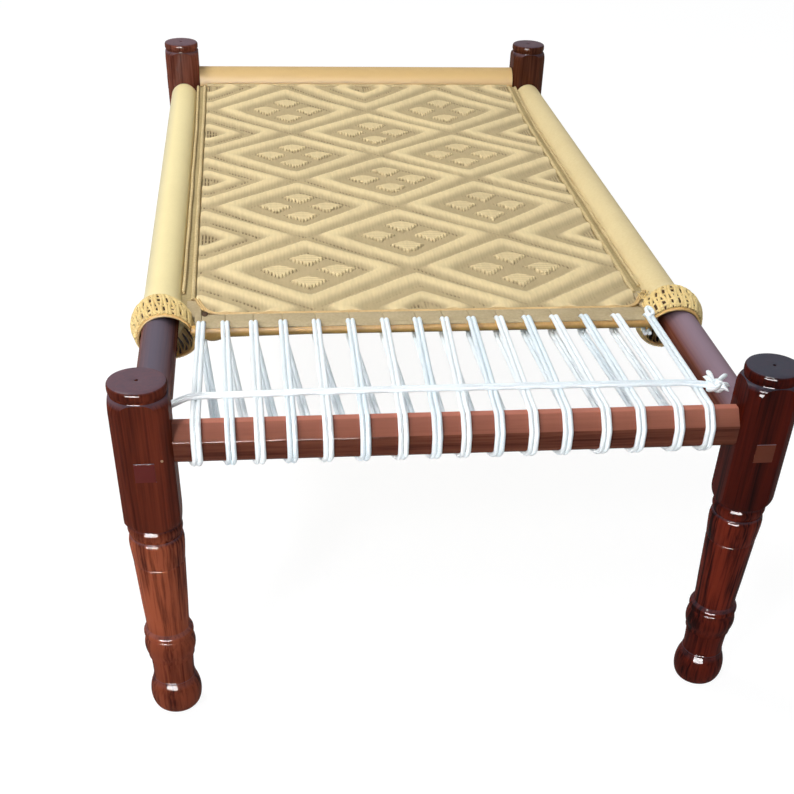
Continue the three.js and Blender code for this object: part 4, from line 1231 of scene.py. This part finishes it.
def show(tree, output, lit, seen):
    """Ends a tree with one shader for light and another for what the camera and clear reflections see."""
    path = add_node(tree, "LightPath").outputs
    direct = path["Is Camera Ray"]
    for ray in ("Is Glossy Ray", "Is Transmission Ray"):
        direct = add_node(tree, "Math", {0: direct, 1: path[ray]}, operation="MAXIMUM").outputs[0]
    mixed = add_node(tree, "MixShader", {0: direct, 1: lit.outputs[0], 2: seen.outputs[0]})
    add_node(tree, output, {"Surface": mixed.outputs[0]})


class CHARPAI_OT_stage(bpy.types.Operator):
    """Set the camera, the floor, the lamps and the pale surroundings"""
    bl_idname = "charpai.stage"
    bl_label = "Camera and stage"

    def execute(self, context):
        scene = context.scene
        scene.view_settings.view_transform = "Standard"
        yaw, pitch, roll = (radians(a) for a in CAMERA_TURN)
        camera = add_object("Camera", bpy.data.cameras.new("Camera"))
        camera.matrix_world = (Matrix.Translation(CAMERA_PLACE) @ Matrix.Rotation(-yaw, 4, "Z")
                               @ Matrix.Rotation(pi / 2 - pitch, 4, "X") @ Matrix.Rotation(roll, 4, "Z"))
        camera.data.sensor_width = SENSOR
        camera.data.lens = FOCAL * SENSOR / IMAGE_SIZE
        camera.data.shift_x = (IMAGE_SIZE / 2 - MIDDLE_X) / IMAGE_SIZE
        camera.data.shift_y = (MIDDLE_Y - IMAGE_SIZE / 2) / IMAGE_SIZE
        camera.data.clip_end = 100
        scene.camera = camera
        self.floor()
        self.surroundings(scene)
        self.lamps()
        return {"FINISHED"}

    def floor(self):
        """A pale floor that the camera sees as almost white."""
        bm = bmesh.new()
        bmesh.ops.create_grid(bm, x_segments=1, y_segments=1, size=20)
        mesh = bpy.data.meshes.new("floor")
        bm.to_mesh(mesh)
        bm.free()
        floor = add_object("floor", mesh)
        surface = bpy.data.materials.new("Pale_studio_floor")
        tree = empty_tree(surface)
        matt, dim = (add_node(tree, "BsdfDiffuse", {"Color": (grey, grey, grey, 1)}) for grey in (0.75, 0.14))
        glow = add_node(tree, "Emission", {"Color": (1, 1, 1, 1), "Strength": 0.93})
        pale = add_node(tree, "AddShader", {0: dim.outputs[0], 1: glow.outputs[0]})
        show(tree, "OutputMaterial", matt, pale)
        mesh.materials.append(surface)

    def surroundings(self, scene):
        scene.world = bpy.data.worlds.new("World")
        tree = empty_tree(scene.world)
        soft = add_node(tree, "Background", {"Color": (0.90, 0.95, 1.0, 1), "Strength": 0.33})
        white = add_node(tree, "Background", {"Color": (1, 1, 1, 1), "Strength": 1.0})
        show(tree, "OutputWorld", soft, white)

    def lamps(self):
        for name, place, wide, high, power in LAMPS:
            data = bpy.data.lights.new(name, "AREA")
            data.shape = "RECTANGLE"
            data.size, data.size_y = wide, high
            data.energy = power
            lamp = add_object(name, data)
            lamp.visible_camera = False
            lamp.visible_diffuse = "window" not in name
            lamp.location = place
            lamp.rotation_euler = (Vector((0, 0, 0.4)) - Vector(place)).to_track_quat("-Z", "Y").to_euler()


OPERATORS = (
    CHARPAI_OT_stage, CHARPAI_OT_legs, CHARPAI_OT_rails, CHARPAI_OT_rail_wraps, CHARPAI_OT_bed,
    CHARPAI_OT_borders, CHARPAI_OT_foot_edge, CHARPAI_OT_collars, CHARPAI_OT_lacing,
)


class CHARPAI_PT_panel(bpy.types.Panel):
    """Lists the pieces of the charpai"""
    bl_idname = "CHARPAI_PT_panel"
    bl_label = "Charpai"
    bl_space_type = "VIEW_3D"
    bl_region_type = "UI"
    bl_category = "Charpai"

    def draw(self, context):
        for operator in OPERATORS:
            self.layout.operator(operator.bl_idname)
        for group in (wood(), weave(), lacing()):
            for name in group.bl_rna.properties.keys():
                if name not in ("rna_type", "name"):
                    self.layout.prop(group, name)


GROUPS = {"charpai_wood": CharpaiWood, "charpai_weave": CharpaiWeave, "charpai_lacing": CharpaiLacing}
CLASSES = (*GROUPS.values(), *OPERATORS, CHARPAI_PT_panel)


def register():
    for cls in CLASSES:
        bpy.utils.register_class(cls)
    for name, group in GROUPS.items():
        setattr(bpy.types.Scene, name, PointerProperty(type=group))


def unregister():
    for name in GROUPS:
        delattr(bpy.types.Scene, name)
    for cls in reversed(CLASSES):
        bpy.utils.unregister_class(cls)


def main():
    register()
    for operator in OPERATORS:
        name = operator.bl_idname.split(".")[1]
        getattr(bpy.ops.charpai, name)()


if __name__ == "__main__":
    main()
